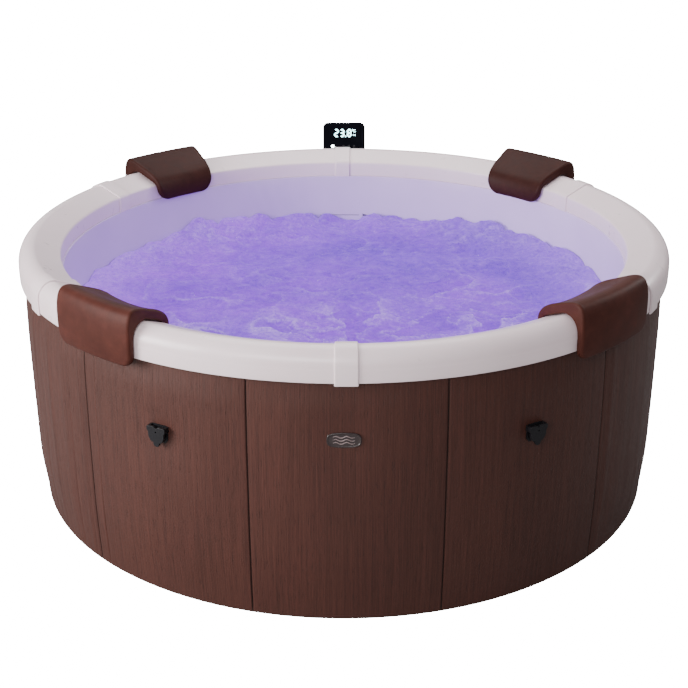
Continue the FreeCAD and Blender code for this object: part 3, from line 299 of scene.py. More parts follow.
def rim_white():
    m, nt, b = new_material("rim_satin_white_painted_pink_cast")
    v = coords(nt, "Object", (1, 1, 1))
    tone = noise_fac(nt, v, 3.0, 0.5, 4.0)
    # off-white rim with a painted pink cast standing in for the lilac light from the basin
    nt.links.new(ramp(nt, tone, [(0.3, (0.85, 0.700, 0.735)), (0.7, (0.90, 0.755, 0.790))]), b.inputs["Base Color"])
    smear = noise_fac(nt, v, 5.0, 0.65, 22.0)
    nt.links.new(node(nt, "ShaderNodeMapRange", Value=smear, To_Min=0.22, To_Max=0.38).outputs[0], b.inputs["Roughness"])
    b.inputs["Specular IOR Level"].default_value = 0.6
    b.inputs["Subsurface Weight"].default_value = 0.08
    b.inputs["Subsurface Radius"].default_value = (0.01, 0.008, 0.007)
    b.inputs["Subsurface Scale"].default_value = 0.5
    fine = noise_fac(nt, v, 2.0, 0.5, 700.0)
    wide = noise_fac(nt, v, 1.0, 0.4, 16.0)
    n1 = node(nt, "ShaderNodeBump", Strength=0.6, Distance=0.0010, Height=wide).outputs[0]
    bump(nt, b, fine, 0.00006, 1.0, n1)
    return m


def headrest_skin(name="headrest_skin", shade=1.0):
    m, nt, b = new_material(name)
    v = coords(nt, "Object", (1, 1, 1))
    mott = noise_fac(nt, v, 5.0, 0.62, 34.0)
    big = noise_fac(nt, v, 2.0, 0.5, 9.0)
    col = ramp(nt, mott, [(p, tuple(shade * c for c in rgb)) for p, rgb in ((0.30, (0.052, 0.0152, 0.0110)), (0.55, (0.064, 0.0190, 0.0138)), (0.78, (0.080, 0.0240, 0.0177)))])
    col = mix(nt, 1.0, col, ramp(nt, big, [(0.3, (0.88, 0.86, 0.86)), (0.7, (1.1, 1.08, 1.08))]), "MULTIPLY")
    nt.links.new(col, b.inputs["Base Color"])
    nt.links.new(node(nt, "ShaderNodeMapRange", Value=mott, To_Min=0.42, To_Max=0.58).outputs[0], b.inputs["Roughness"])
    b.inputs["Specular IOR Level"].default_value = 0.12
    pebble = node(nt, "ShaderNodeTexVoronoi", {"feature": "SMOOTH_F1"}, Vector=v, Scale=620.0, Smoothness=0.6).outputs["Distance"]
    crease = noise_fac(nt, v, 4.0, 0.6, 150.0)
    h = maths(nt, "ADD", maths(nt, "MULTIPLY", pebble, 0.5), maths(nt, "MULTIPLY", crease, 0.7))
    bump(nt, b, h, 0.00022, 0.8)
    return m


def liner_vinyl():
    m, nt, b = new_material("liner_vinyl_white_painted_lilac_glow")
    v = coords(nt, "Object", (1, 1, 1))
    tone = noise_fac(nt, v, 3.0, 0.5, 5.0)
    # white vinyl with a painted lilac cast standing in for the purple light from the basin
    nt.links.new(ramp(nt, tone, [(0.3, (0.655, 0.505, 0.80)), (0.7, (0.70, 0.55, 0.85))]), b.inputs["Base Color"])
    b.inputs["Roughness"].default_value = 0.42
    weave = node(nt, "ShaderNodeTexVoronoi", {"feature": "F1"}, Vector=v, Scale=900.0).outputs["Distance"]
    n1 = node(nt, "ShaderNodeBump", Strength=0.8, Distance=0.002, Height=noise_fac(nt, v, 3.0, 0.55, 7.0)).outputs[0]
    bump(nt, b, weave, 0.00008, 0.8, n1)
    return m


def foam_water():
    m, nt, b = new_material("foam_water")
    v = coords(nt, "Object", (1, 1, 1))
    crest, edge, hollow_shade_mask, bluer = attribute(nt, "crest"), attribute(nt, "edge"), attribute(nt, "hollow_shade"), attribute(nt, "bluer")
    drift = noise_fac(nt, coords(nt, "Object", (5.0, 6.0, 5.0), ((3, 3, 3), (0.12, 0.12, 0.0))), 4.0, 0.55)
    wisps = noise_fac(nt, coords(nt, "Object", (32.0, 36.0, 32.0), ((9, 9, 9), (0.05, 0.05, 0.0))), 6.0, 0.66)
    pink = ramp(nt, drift, [(0.30, (0.235, 0.042, 0.780)), (0.5, (0.315, 0.056, 0.890)), (0.72, (0.410, 0.090, 1.000))])
    blue = ramp(nt, drift, [(0.30, (0.165, 0.045, 0.680)), (0.5, (0.215, 0.060, 0.770)), (0.72, (0.280, 0.088, 0.870))])
    body = mix(nt, bluer, pink, blue)
    body = mix(nt, ramp(nt, wisps, [(0.46, (0, 0, 0)), (0.78, (0.42, 0.42, 0.42))]), body, (0.47, 0.235, 0.98))
    # painted shade: darker purple in the hollows between the billows
    body = mix(nt, maths(nt, "MULTIPLY", hollow_shade_mask, 0.7, True), body, (0.150, 0.048, 0.600))
    # painted light: lighter lilac towards the side and front walls, standing in for the lamps' glow along the walls
    body = mix(nt, maths(nt, "MULTIPLY", edge, 0.52, True), body, (0.50, 0.255, 1.02))
    fine = noise_fac(nt, v, 3.0, 0.7, 300.0)
    clump = noise_fac(nt, v, 4.0, 0.7, 90.0)
    froth = maths(nt, "MULTIPLY", crest, node(nt, "ShaderNodeMapRange", {"clamp": True}, Value=clump, From_Min=0.30, From_Max=0.62, To_Min=0.45, To_Max=1.15).outputs[0], True)
    body = mix(nt, froth, body, (0.66, 0.47, 1.08))
    body = mix(nt, 1.0, body, ramp(nt, clump, [(0.32, (0.80, 0.74, 0.87)), (0.68, (1.16, 1.20, 1.09))]), "MULTIPLY")
    body = mix(nt, 1.0, body, ramp(nt, fine, [(0.3, (0.72, 0.66, 0.80)), (0.7, (1.22, 1.26, 1.12))]), "MULTIPLY")
    # painted highlights: small bright glints scattered in patches over the foam
    glint_cells = node(nt, "ShaderNodeTexVoronoi", {"feature": "F1"}, Vector=v, Scale=80.0, Randomness=1.0).outputs["Distance"]
    painted_glints = node(nt, "ShaderNodeMapRange", {"clamp": True}, Value=glint_cells, From_Min=0.12, From_Max=0.06, To_Min=0.0, To_Max=1.0).outputs[0]
    gate = node(nt, "ShaderNodeMapRange", {"clamp": True}, Value=noise_fac(nt, v, 3.0, 0.6, 20.0), From_Min=0.52, From_Max=0.66, To_Min=0.0, To_Max=1.0).outputs[0]
    painted_glints = maths(nt, "MULTIPLY", maths(nt, "MULTIPLY", painted_glints, gate), 0.7)
    body = mix(nt, painted_glints, body, (1.0, 0.92, 1.3))
    nt.links.new(mix(nt, 1.0, body, (0.20, 0.12, 0.26), "MULTIPLY"), b.inputs["Base Color"])
    # painted glow: the foam surface emits its own purple colour, standing in for the light of the underwater lamps;
    # this emission also casts the purple light on the liner, rim and headrests
    nt.links.new(body, b.inputs["Emission Color"])
    b.inputs["Emission Strength"].default_value = 1.12
    b.inputs["Roughness"].default_value = 0.5
    b.inputs["Specular IOR Level"].default_value = 0.15
    bub = node(nt, "ShaderNodeTexVoronoi", {"feature": "F1"}, Vector=v, Scale=210.0, Randomness=1.0).outputs["Distance"]
    n1 = node(nt, "ShaderNodeBump", Strength=0.6, Distance=0.003, Height=wisps).outputs[0]
    h = maths(nt, "ADD", maths(nt, "SUBTRACT", maths(nt, "MULTIPLY", fine, 0.6), maths(nt, "MULTIPLY", bub, 0.8)), maths(nt, "MULTIPLY", clump, 0.9))
    bump(nt, b, h, 0.0022, 0.9, n1)
    return m


def fabric(name, color, scale=700.0, rough=0.85):
    m, nt, b = new_material(name)
    v = coords(nt, "Object", (1, 1, 1))
    w1 = node(nt, "ShaderNodeTexWave", {"bands_direction": "X"}, Vector=v, Scale=scale / 6.28, Distortion=1.5, Detail=2.0).outputs["Fac"]
    w2 = node(nt, "ShaderNodeTexWave", {"bands_direction": "Y"}, Vector=v, Scale=scale / 6.28, Distortion=1.5, Detail=2.0).outputs["Fac"]
    weave = maths(nt, "MULTIPLY", w1, w2)
    tone = noise_fac(nt, v, 4.0, 0.6, 12.0)
    c = ramp(nt, tone, [(0.3, tuple(x * 0.86 for x in color)), (0.7, tuple(min(1, x * 1.1) for x in color))])
    c = mix(nt, maths(nt, "MULTIPLY", weave, 0.35), c, tuple(x * 0.55 for x in color))
    nt.links.new(c, b.inputs["Base Color"])
    b.inputs["Roughness"].default_value = rough
    b.inputs["Sheen Weight"].default_value = 0.2
    bump(nt, b, weave, 0.0003, 0.8)
    return m


def foam_board():
    m, nt, b = new_material("foam_board")
    v = coords(nt, "Object", (1, 1, 1))
    beads = node(nt, "ShaderNodeTexVoronoi", {"feature": "F1"}, Vector=v, Scale=260.0).outputs["Distance"]
    nt.links.new(ramp(nt, beads, [(0.0, (0.86, 0.86, 0.84)), (0.6, (0.78, 0.78, 0.76)), (0.9, (0.62, 0.62, 0.60))]), b.inputs["Base Color"])
    b.inputs["Roughness"].default_value = 0.8
    bump(nt, b, beads, -0.0004, 0.7)
    return m


def brushed(name, color, rough=0.3):
    m, nt, b = new_material(name)
    v = coords(nt, "Object", (300, 12, 300))
    s = noise_fac(nt, v, 4.0, 0.6)
    nt.links.new(ramp(nt, s, [(0.3, tuple(c * 0.85 for c in color)), (0.7, color)]), b.inputs["Base Color"])
    b.inputs["Metallic"].default_value = 1.0
    nt.links.new(node(nt, "ShaderNodeMapRange", Value=s, To_Min=rough, To_Max=rough + 0.18).outputs[0], b.inputs["Roughness"])
    bump(nt, b, s, 0.0001, 0.5)
    return m


def pleated_paper():
    m, nt, b = new_material("filter_pleats")
    tc = node(nt, "ShaderNodeTexCoord")
    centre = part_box("filter_cartridge")
    mid = (centre[0] + centre[1]) / 2
    off = node(nt, "ShaderNodeVectorMath", {"operation": "SUBTRACT"}, i0=tc.outputs["Object"], i1=(mid.x, mid.y, 0.0))
    sep = node(nt, "ShaderNodeSeparateXYZ", Vector=off.outputs[0])
    ang = maths(nt, "ARCTAN2", sep.outputs["Y"], sep.outputs["X"])
    saw = maths(nt, "PINGPONG", maths(nt, "MULTIPLY", ang, 60.0 / 6.2832), 0.5)
    # painted shade: the pleat colour goes dark in the pleat folds and pale between them
    nt.links.new(ramp(nt, saw, [(0.0, (0.45, 0.50, 0.58)), (0.5, (0.86, 0.89, 0.93))]), b.inputs["Base Color"])
    b.inputs["Roughness"].default_value = 0.85
    bump(nt, b, saw, 0.006, 0.9)
    return m


def lamp_glass():
    m, nt, b = new_material("lamp_lens_lit")
    v = coords(nt, "Object", (1, 1, 1))
    facet = node(nt, "ShaderNodeTexVoronoi", {"feature": "F1"}, Vector=v, Scale=160.0).outputs["Distance"]
    col = ramp(nt, facet, [(0.0, (0.80, 0.66, 1.0)), (0.7, (0.45, 0.28, 0.98))])
    nt.links.new(col, b.inputs["Base Color"])
    nt.links.new(col, b.inputs["Emission Color"])
    b.inputs["Emission Strength"].default_value = 2.0
    b.inputs["Roughness"].default_value = 0.15
    bump(nt, b, facet, 0.0012, 0.8)
    return m


def glow(name, color, strength):
    m, nt, b = new_material(name)
    v = coords(nt, "Object", (1, 1, 1))
    n = noise_fac(nt, v, 2.0, 0.5, 900.0)
    col = ramp(nt, n, [(0.3, tuple(c * 0.9 for c in color)), (0.7, color)])
    nt.links.new(col, b.inputs["Emission Color"])
    nt.links.new(col, b.inputs["Base Color"])
    b.inputs["Emission Strength"].default_value = strength
    b.inputs["Roughness"].default_value = 0.4
    return m


def screen_glass():
    m, nt, b = new_material("screen_glass_black")
    v = coords(nt, "Object", (1, 1, 1))
    smear = noise_fac(nt, v, 4.0, 0.6, 28.0)
    nt.links.new(ramp(nt, smear, [(0.3, (0.0010, 0.0010, 0.0030)), (0.7, (0.0018, 0.0018, 0.0045))]), b.inputs["Base Color"])
    nt.links.new(node(nt, "ShaderNodeMapRange", Value=smear, To_Min=0.04, To_Max=0.12).outputs[0], b.inputs["Roughness"])
    b.inputs["Specular IOR Level"].default_value = 0.12
    return m


WOOD, RIM, SKIN, VINYL, WATER = wood_leatherette(), rim_white(), headrest_skin(), liner_vinyl(), foam_water()
# a darker copy of the headrest skin: painted shade for the rear pair
SKIN_PAINTED_SHADE = headrest_skin("headrest_skin_painted_shade", 0.56)
BLACK = plastic("buckle_black", (0.0075, 0.0070, 0.0090), 0.42, 1100, 0.00010, 0.15, spec=0.28)
DARK = plastic("unit_dark", (0.035, 0.035, 0.038), 0.5, 800, 0.00014)
SHELL = plastic("unit_shell", (0.70, 0.69, 0.67), 0.42, 800, 0.00012, 0.03)
FITTING = plastic("fitting_white", (0.74, 0.74, 0.77), 0.35, 900, 0.00005)

# ------------------------------------------------------------------ camera, light and stage
cam = bpy.data.cameras.new("photo_camera")
cam.lens, cam.sensor_width, cam.sensor_fit = 68.67, 36.0, "HORIZONTAL"
cam.clip_end = 100.0
cam_o = link(bpy.data.objects.new("photo_camera", cam))
cam_o.location = (0.0, -3.640, 1.904)
cam_o.rotation_euler = (math.radians(67.09), 0.0, 0.0)
scene.camera = cam_o


def area(name, at, look, size, power, color=(1, 1, 1), size_y=None):
    d = bpy.data.lights.new(name, "AREA")
    d.energy, d.color = power, color
    d.shape = "RECTANGLE"
    d.size, d.size_y = size, size_y or size
    o = link(bpy.data.objects.new(name, d))
    o.location = at
    o.rotation_euler = (Vector(look) - Vector(at)).to_track_quat("-Z", "Y").to_euler()
    return o


area("key_left", (-3.7, -1.95, 1.7), (0.0, 0.0, 0.40), 2.2, 255.0, (1.0, 0.975, 0.96), 1.9)
area("overhead", (-0.2, 1.7, 4.1), (0.0, 0.1, 0.5), 2.8, 108.0, (1.0, 0.975, 0.965))
area("rim_right", (3.6, 1.6, 2.6), (0.4, 0.0, 0.6), 1.6, 60.0, (1.0, 0.97, 0.96))
area("front_soft", (-1.3, -4.6, 2.4), (0.0, 0.0, 0.6), 2.6, 122.0, (1.0, 0.985, 0.985), 1.6)

world = bpy.data.worlds.new("studio")
world.use_nodes = True
scene.world = world
wt = world.node_tree
wt.nodes.clear()
lp = node(wt, "ShaderNodeLightPath")
bg_cam = node(wt, "ShaderNodeBackground", Color=(1, 1, 1, 1), Strength=22.0)
bg_lit = node(wt, "ShaderNodeBackground", Color=(0.98, 0.98, 1.0, 1), Strength=0.42)
wm = node(wt, "ShaderNodeMixShader", Fac=lp.outputs["Is Camera Ray"])
wt.links.new(bg_lit.outputs[0], wm.inputs[1])
wt.links.new(bg_cam.outputs[0], wm.inputs[2])
wt.links.new(wm.outputs[0], node(wt, "ShaderNodeOutputWorld").inputs["Surface"])

# a plain white studio floor: burnt out to paper white where it is seen, and only mildly bright as a light
fm = bpy.data.meshes.new("floor")
fm.from_pydata([(-30, -30, 0), (30, -30, 0), (30, 40, 0), (-30, 40, 0)], [], [(0, 1, 2, 3)])
floor = link(bpy.data.objects.new("floor", fm))
m, nt, b = new_material("floor_pale")
b.inputs["Base Color"].default_value = (0.32, 0.32, 0.32, 1)
b.inputs["Roughness"].default_value = 0.9
b.inputs["Specular IOR Level"].default_value = 0.0
b.inputs["Emission Color"].default_value = (1, 1, 1, 1)
seen = node(nt, "ShaderNodeLightPath")
nt.links.new(maths(nt, "MULTIPLY", seen.outputs["Is Camera Ray"], 22.0), b.inputs["Emission Strength"])
wear(floor, m)

scene.view_settings.view_transform = "AgX"
scene.view_settings.look = "None"

# ------------------------------------------------------------------ wall jacket
SEAMS = [-165.0, -135.4, -105.6, -76.2, -45.9, -14.7, 15.75, 46.5, 76.8, 106.3, 135.8, 165.4]
# soft vertical folds: angle, width in mm, height in mm
FOLDS = [(48.7, 11.0, 2.6), (-47.7, 6.0, 3.0), (-43.3, 2.6, -2.0), (-50.9, 4.0, -1.6), (-53.0, 13.0, 1.8), (-58.5, 10.0, 2.4), (-62.5, 10.0, -1.6), (-66.3, 8.0, 2.6), (-71.0, 10.0, 1.2),
         (56.0, 22.0, -1.0), (62.5, 16.0, 1.6), (69.5, 12.0, 1.3), (78.4, 10.0, 2.0), (-78.8, 10.0, 2.2), (108.0, 12.0, 2.0), (-104.0, 14.0, 1.8),
         (133.5, 12.0, 2.0), (-138.0, 12.0, 2.2), (152.0, 26.0, 1.0), (-158.0, 20.0, 1.2), (92.0, 30.0, 0.8), (-94.0, 24.0, 0.9)]
BUCKLES = [30, 90, 150, -150, -90, -30]


def swell(z):
    """The wall's swell between foot and top, in metres, as the CAD jacket has it but smooth."""
    f = np.interp(z, [0.003, 0.06, 0.12, 0.2, 0.3, 0.39, 0.48, 0.59, 0.65, 0.70], [0, 0.36, 0.63, 0.87, 1.0, 1.03, 1.0, 0.66, 0.18, 0.0])
    return 0.0065 * f


def wall_radius(a, z):
    """a in degrees, z in metres, both arrays that broadcast."""
    r = 0.900 + swell(z)
    body = np.clip((z - 0.02) / 0.16, 0, 1) * np.clip((0.665 - z) / 0.1, 0, 1)
    body = body * body * (3 - 2 * body)
    seam_d = np.min([np.abs((a - s + 180) % 360 - 180) for s in SEAMS], axis=0) * math.radians(1) * 900.0
    half = 236.0
    p = np.clip(seam_d / half, 0, 1)
    puff = 1.0 - (1.0 - p) ** 3
    clear = np.ones_like(a * z)
    for c in BUCKLES:
        d = np.hypot(((a - c - 0.6 + 180) % 360 - 180) * math.radians(1) * 0.9, z - 0.461)
        clear = clear * (1 - 0.92 * np.exp(-(d / 0.075) ** 2))
    d = np.hypot(a * math.radians(1) * 0.9, z - 0.506)
    clear = clear * (1 - 0.92 * np.exp(-(d / 0.085) ** 2))
    r = r + 0.0040 * puff * body * clear
    g = np.clip((z - 0.004) / 0.02, 0, 1)
    for c, w, h in FOLDS:
        d = ((a - c - 0.5 * (z - 0.35) + 180) % 360 - 180) * math.radians(1) * 900.0
        r = r + 0.001 * h * np.exp(-(d / w) ** 2) * g * (0.75 + 0.25 * np.sin(z * 9 + c)) * clear
    out = 0.0008 + 0.0034 * np.clip((np.abs(a) - 40) / 30, 0, 1) * np.clip((150 - np.abs(a)) / 30, 0, 1) + 0.003 * np.exp(-((a + 85) / 30) ** 2)
    r = r + out * body * clear
    r = r - g * (0.0028 * np.exp(-(seam_d / 1.7) ** 2) + 0.0008 * np.exp(-(seam_d / 6.0) ** 2))
    return r, np.exp(-(seam_d / 1.7) ** 2)


def build_jacket():
    mm = math.degrees(1 / 900.0)
    angles = list(np.arange(-180, 180, 0.45))
    for s in SEAMS:
        angles += [s + mm * k for k in (-9, -6.5, -4.8, -3.6, -2.8, -2.1, -1.5, -0.9, -0.4, 0, 0.4, 0.9, 1.5, 2.1, 2.8, 3.6, 4.8, 6.5, 9)]
    for c, w, h in FOLDS:
        if w < 5:
            angles += [c + mm * k for k in np.arange(-9, 9.1, 1.2)]
    angles = np.unique(np.round(angles, 4))
    keep = [angles[0]]
    for x in angles[1:]:
        if x - keep[-1] > 0.018:
            keep.append(x)
    A = np.array(keep)
    zs = np.concatenate([[0.0045, 0.0034, 0.0030, 0.0034, 0.0046, 0.0068, 0.010, 0.015], np.linspace(0.022, 0.69, 44)])
    off = np.concatenate([[-0.016, -0.010, -0.006, -0.0034, -0.0014, -0.0004, 0.0, 0.0], np.zeros(44)])
    aa, zz = np.meshgrid(A, zs, indexing="ij")
    r, g = wall_radius(aa, zz)
    P = polar(r + off[None, :], aa, zz)
    us = np.radians(np.append(A, A[0] + 360)) * 0.9
    o = grid("jacket", P, wrap_u=True, us=us, vs=zs, attrs={"groove": g * np.clip((zz - 0.003) / 0.004, 0, 1)})
    wear(o, WOOD)
    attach(o, "tub")
    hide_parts("wall_jacket")
    return o


build_jacket()


# ------------------------------------------------------------------ rim rail and sleeves
def rounded_corners(corners):
    """A polyline through corners given as (radius, height, rounding, points in the arc)."""
    out, n = [], len(corners)
    for i, (x, z, rho, k) in enumerate(corners):
        p = np.array([x, z])
        if rho == 0 or i in (0, n - 1):
            out.append(p[None])
            continue
        a, b = np.array(corners[i - 1][:2]) - p, np.array(corners[i + 1][:2]) - p
        a, b = a / np.hypot(*a), b / np.hypot(*b)
        half = math.acos(np.clip(a @ b, -1, 1)) / 2
        c = p + (a + b) / np.hypot(*(a + b)) * rho / math.sin(half)
        s0, s1 = p + a * rho / math.tan(half) - c, p + b * rho / math.tan(half) - c
        t0, t1 = math.atan2(s0[1], s0[0]), math.atan2(s1[1], s1[0])
        t1 = t0 + (t1 - t0 + math.pi) % (2 * math.pi) - math.pi
        t = np.linspace(t0, t1, k)
        out.append(c + rho * np.stack([np.cos(t), np.sin(t)], -1))
    return np.concatenate(out)


def rail_outline(grow=0.0, foot_out=0.657, foot_in=0.662, lip=0.0022):
    """The rail's outside from its outer foot over the top to its inner foot, in metres."""
    ro, ri, top = 0.9245 + grow, 0.808 - grow, 0.7385 + grow
    return rounded_corners([(ro - 2 * lip, foot_out, 0, 0), (ro, foot_out, lip, 5), (ro + 0.0004, 0.672, 0.02, 3), (ro + 0.0006, 0.6885, 0.004, 4), (ro, 0.694, 0.003, 3),
                            (ro, top, 0.0400 + grow, 19), (0.8785 - 0.2 * grow, top, 0.025 + grow, 7), (ri, 0.709 + 0.67 * grow, 0.008 + grow, 11),
                            (ri, foot_in, lip, 5), (ri + 2 * lip, foot_in, 0, 0)])


def build_rails():
    under = np.array([(0.823, 0.662), (0.823, 0.7042), (0.902, 0.7042), (0.902, 0.657)])
    prof = np.concatenate([rail_outline(), under])
    for i in range(6):
        c = 30 + 60 * i
        n = 76
        A = np.concatenate([[-29.9, -29.88, -29.8], np.linspace(-29.6, 29.6, n), [29.8, 29.88, 29.9]])
        o = sweep("rail_%d" % (i + 1), [prof] * len(A), A + c, angle=50)
        wear(o, RIM)
        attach(o, "tub")
        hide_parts("rim_rail_%d" % (i + 1))


def build_sleeves():
    mm = math.degrees(1 / 900.0)
    half = 1.75
    steps = [(0.0, 2.6), (0.25, 1.75), (0.8, 0.95), (1.6, 0.35), (2.6, 0.0)]
    made = []
    for i in range(6):
        A, profs = [], []
        side = [(-half + d * mm, t) for d, t in steps] + [(x, 0.0) for x in np.linspace(-half + 4 * mm, half - 4 * mm, 7)] + [(half - d * mm, t) for d, t in steps[::-1]]
        for a, t in side:
            outer = rail_outline(0.0045 - 0.001 * t, 0.652 + 0.0008 * t, 0.6600 + 0.0006 * t, 0.0018)
            inner = rail_outline(0.0005, 0.6522 + 0.0008 * t, 0.6602 + 0.0006 * t, 0.0004)[::-1]
            A.append(a)
            profs.append(np.concatenate([outer, inner]))
        o = sweep("sleeve_%d" % (i + 1), profs, np.array(A) + 60 * i + 0.35, angle=60)
        wear(o, RIM)
        made.append(o)
    for k, o in enumerate(made):
        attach(o, "tub")
        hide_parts("rail_sleeves")


build_rails()
build_sleeves()

# ------------------------------------------------------------------ headrests
REST_OUT = [(943.5, 637), (946, 655), (947.5, 685), (947.5, 715), (946, 740), (942.5, 759), (936, 773), (926.5, 780), (914.5, 781.5), (898, 778), (878, 770.5),
            (856, 762), (836, 754), (817, 744), (800, 731.5), (789, 716.5), (783, 699), (781.0, 680), (782, 667), (784.5, 658)]
REST_IN = [(926.2, 638), (926.3, 655), (926.3, 680), (926.2, 700), (922.5, 716), (914.5, 729), (903, 737), (890, 740.4), (880, 740.4), (871, 738.2),
           (858, 732.8), (845, 727.2), (832, 721.6), (818, 715.6), (808.5, 710), (804, 702), (803, 692), (802.9, 680), (802.4, 667.5), (801.6, 658.5)]


def build_headrest(name, cad, body, centre, T=0.1262, tilt=0.0):
    O, I = spline(REST_OUT, 400) / 1000, spline(REST_IN, 400) / 1000
    M = (O + I) / 2
    s_of = np.concatenate([[0], np.cumsum(np.sqrt((np.diff(M, axis=0) ** 2).sum(1)))])
    S, R0 = s_of[-1], 0.870
    rc0, rc1, re = 0.028, 0.046, 0.0085
    near = np.array([0, 0.25, 0.9, 2.0, 3.5, 5.4, 7.5, 9.5, 12.5, 16.5, 21, 26, 32, 38]) / 1000
    s = np.concatenate([near, np.linspace(0.045, S - 0.045, 40), S - near[::-1]])
    near_t = np.array([0, 0.25, 0.9, 2.0, 3.5, 5.4, 7.5, 9.5, 13.0, 18.0]) / 1000
    q = np.concatenate([-1 + near_t / T, np.linspace(-1 + 0.024 / T, 1 - 0.024 / T, 33), 1 - near_t[::-1] / T])
    rc = np.where(s < S / 2, rc0, rc1)
    e = np.clip(np.minimum(s, S - s), 0, rc)
    taper = 0.009 * np.clip((s / S - 0.42) / 0.5, 0, 1) ** 1.2
    tmax = T - taper - (rc - np.sqrt(np.maximum(rc ** 2 - (rc - e) ** 2, 0)))
    ss, qq = np.meshgrid(s, q, indexing="ij")
    tt = qq * tmax[:, None]
    # distance inside a rounded rectangle
    rcc = np.where(ss < S / 2, rc0, rc1)
    px = np.abs(ss - S / 2) - (S / 2 - rcc)
    py = np.abs(tt) - (T - np.broadcast_to(taper[:, None], tt.shape) - rcc)
    sd = np.hypot(np.maximum(px, 0), np.maximum(py, 0)) + np.minimum(np.maximum(px, py), 0) - rcc
    d = np.clip(-sd, 0, None)
    Oi = np.stack([np.interp(ss, s_of, O[:, k]) for k in (0, 1)], -1)
    Ii = np.stack([np.interp(ss, s_of, I[:, k]) for k in (0, 1)], -1)
    Mi, D = (Oi + Ii) / 2, (Oi - Ii) / 2
    h = np.sqrt((D ** 2).sum(-1))
    n = D / h[..., None]
    rem = np.minimum(re, h * 0.8)
    drop = rem - np.sqrt(np.maximum(rem ** 2 - np.maximum(rem - d, 0) ** 2, 0))
    hh = h - drop
    # a shallow neck scoop on the top and a soft crown on the flap
    u = tt / T
    top = bump_at(ss / S, 0.66, 0.17)
    flap = bump_at(ss / S, 0.17, 0.15)
    scoop = -0.0065 * top * (1 - u ** 2) + 0.0016 * flap * (1 - u ** 4)
    ang = centre + np.degrees(tt / R0)
    po = Mi + n * (hh + scoop * np.clip(d / 0.02, 0, 1))[..., None]
    po[..., 1] += tilt * u * bump_at(ss / S, 0.40, 0.20) * np.clip(d / 0.01, 0, 1)
    pi = Mi - n * hh[..., None]
    Po, Pi = polar(po[..., 0], ang, po[..., 1]), polar(pi[..., 0], ang, pi[..., 1])
    ns, nq = ss.shape
    verts = np.concatenate([Po.reshape(-1, 3), Pi.reshape(-1, 3)])
    base = ns * nq
    faces = []
    for i in range(ns - 1):
        for j in range(nq - 1):
            a0 = i * nq + j
            faces.append((a0, a0 + nq, a0 + nq + 1, a0 + 1))
            faces.append((base + a0, base + a0 + 1, base + a0 + nq + 1, base + a0 + nq))
    loop = [j for j in range(nq)] + [i * nq + nq - 1 for i in range(1, ns)] + [(ns - 1) * nq + j for j in range(nq - 2, -1, -1)] + [i * nq for i in range(ns - 2, 0, -1)]
    for k in range(len(loop)):
        a0, b0 = loop[k], loop[(k + 1) % len(loop)]
        faces.append((a0, b0, base + b0, base + a0))
    me = bpy.data.meshes.new(name)
    me.from_pydata(verts.tolist(), [], faces)
    bm = bmesh.new()
    bm.from_mesh(me)
    bmesh.ops.remove_doubles(bm, verts=bm.verts, dist=0.00003)
    bmesh.ops.recalc_face_normals(bm, faces=bm.faces)
    bm.to_mesh(me)
    bm.free()
    finish_mesh(me)
    o = link(bpy.data.objects.new(name, me))
    # the rear headrests get the darker copy: painted shade
    wear(o, SKIN if abs(centre) < 90 else SKIN_PAINTED_SHADE)
    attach(o, body)
    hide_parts(cad)
    return o


build_headrest("rest_front_left", "headrest_front_left", "headrest_fl", -40.5, 0.1240, -0.003)
build_headrest("rest_front_right", "headrest_front_right", "headrest_fr", 45.5, 0.1315, 0.003)
build_headrest("rest_rear_left", "headrest_rear_left", "headrest_rl", -137.8)
build_headrest("rest_rear_right", "headrest_rear_right", "headrest_rr", 134.6)


# ------------------------------------------------------------------ basin liner
def liner_radius(a, z):
    """The hung sheet: fairly smooth, with shallow slanting folds where it hangs from the rear left of the rim."""
    r = np.full(np.broadcast(a, z).shape, 0.8050)
    top = np.clip((z - 0.50) / 0.15, 0, 1)
    for c, slant, w, h in ((-160.0, 26.0, 0.9, 2.2), (-163.5, 22.0, 1.1, 1.8), (-156.5, 30.0, 1.0, 1.6), (-169.0, 14.0, 1.4, 1.2), (-148.0, 18.0, 1.6, 1.2),
                           (-128.0, 12.0, 2.0, 1.0), (151.0, -16.0, 1.6, 1.2), (118.0, -12.0, 2.2, 1.0), (-96.0, 8.0, 2.4, 1.0), (84.0, -8.0, 2.4, 1.0),
                           (20.0, 12.0, 2.0, 1.0), (-32.0, -10.0, 2.2, 1.0), (62.0, 14.0, 2.0, 1.0)):
        d = (a - c - slant * (z - 0.60) + 180) % 360 - 180
        r = r - 0.001 * h * np.exp(-(d / w) ** 2) * (0.25 + 0.75 * top)
    r = r - 0.0008 * (1 + np.sin(np.radians(a) * 24 + 3 * np.sin(z * 5)))
    return r


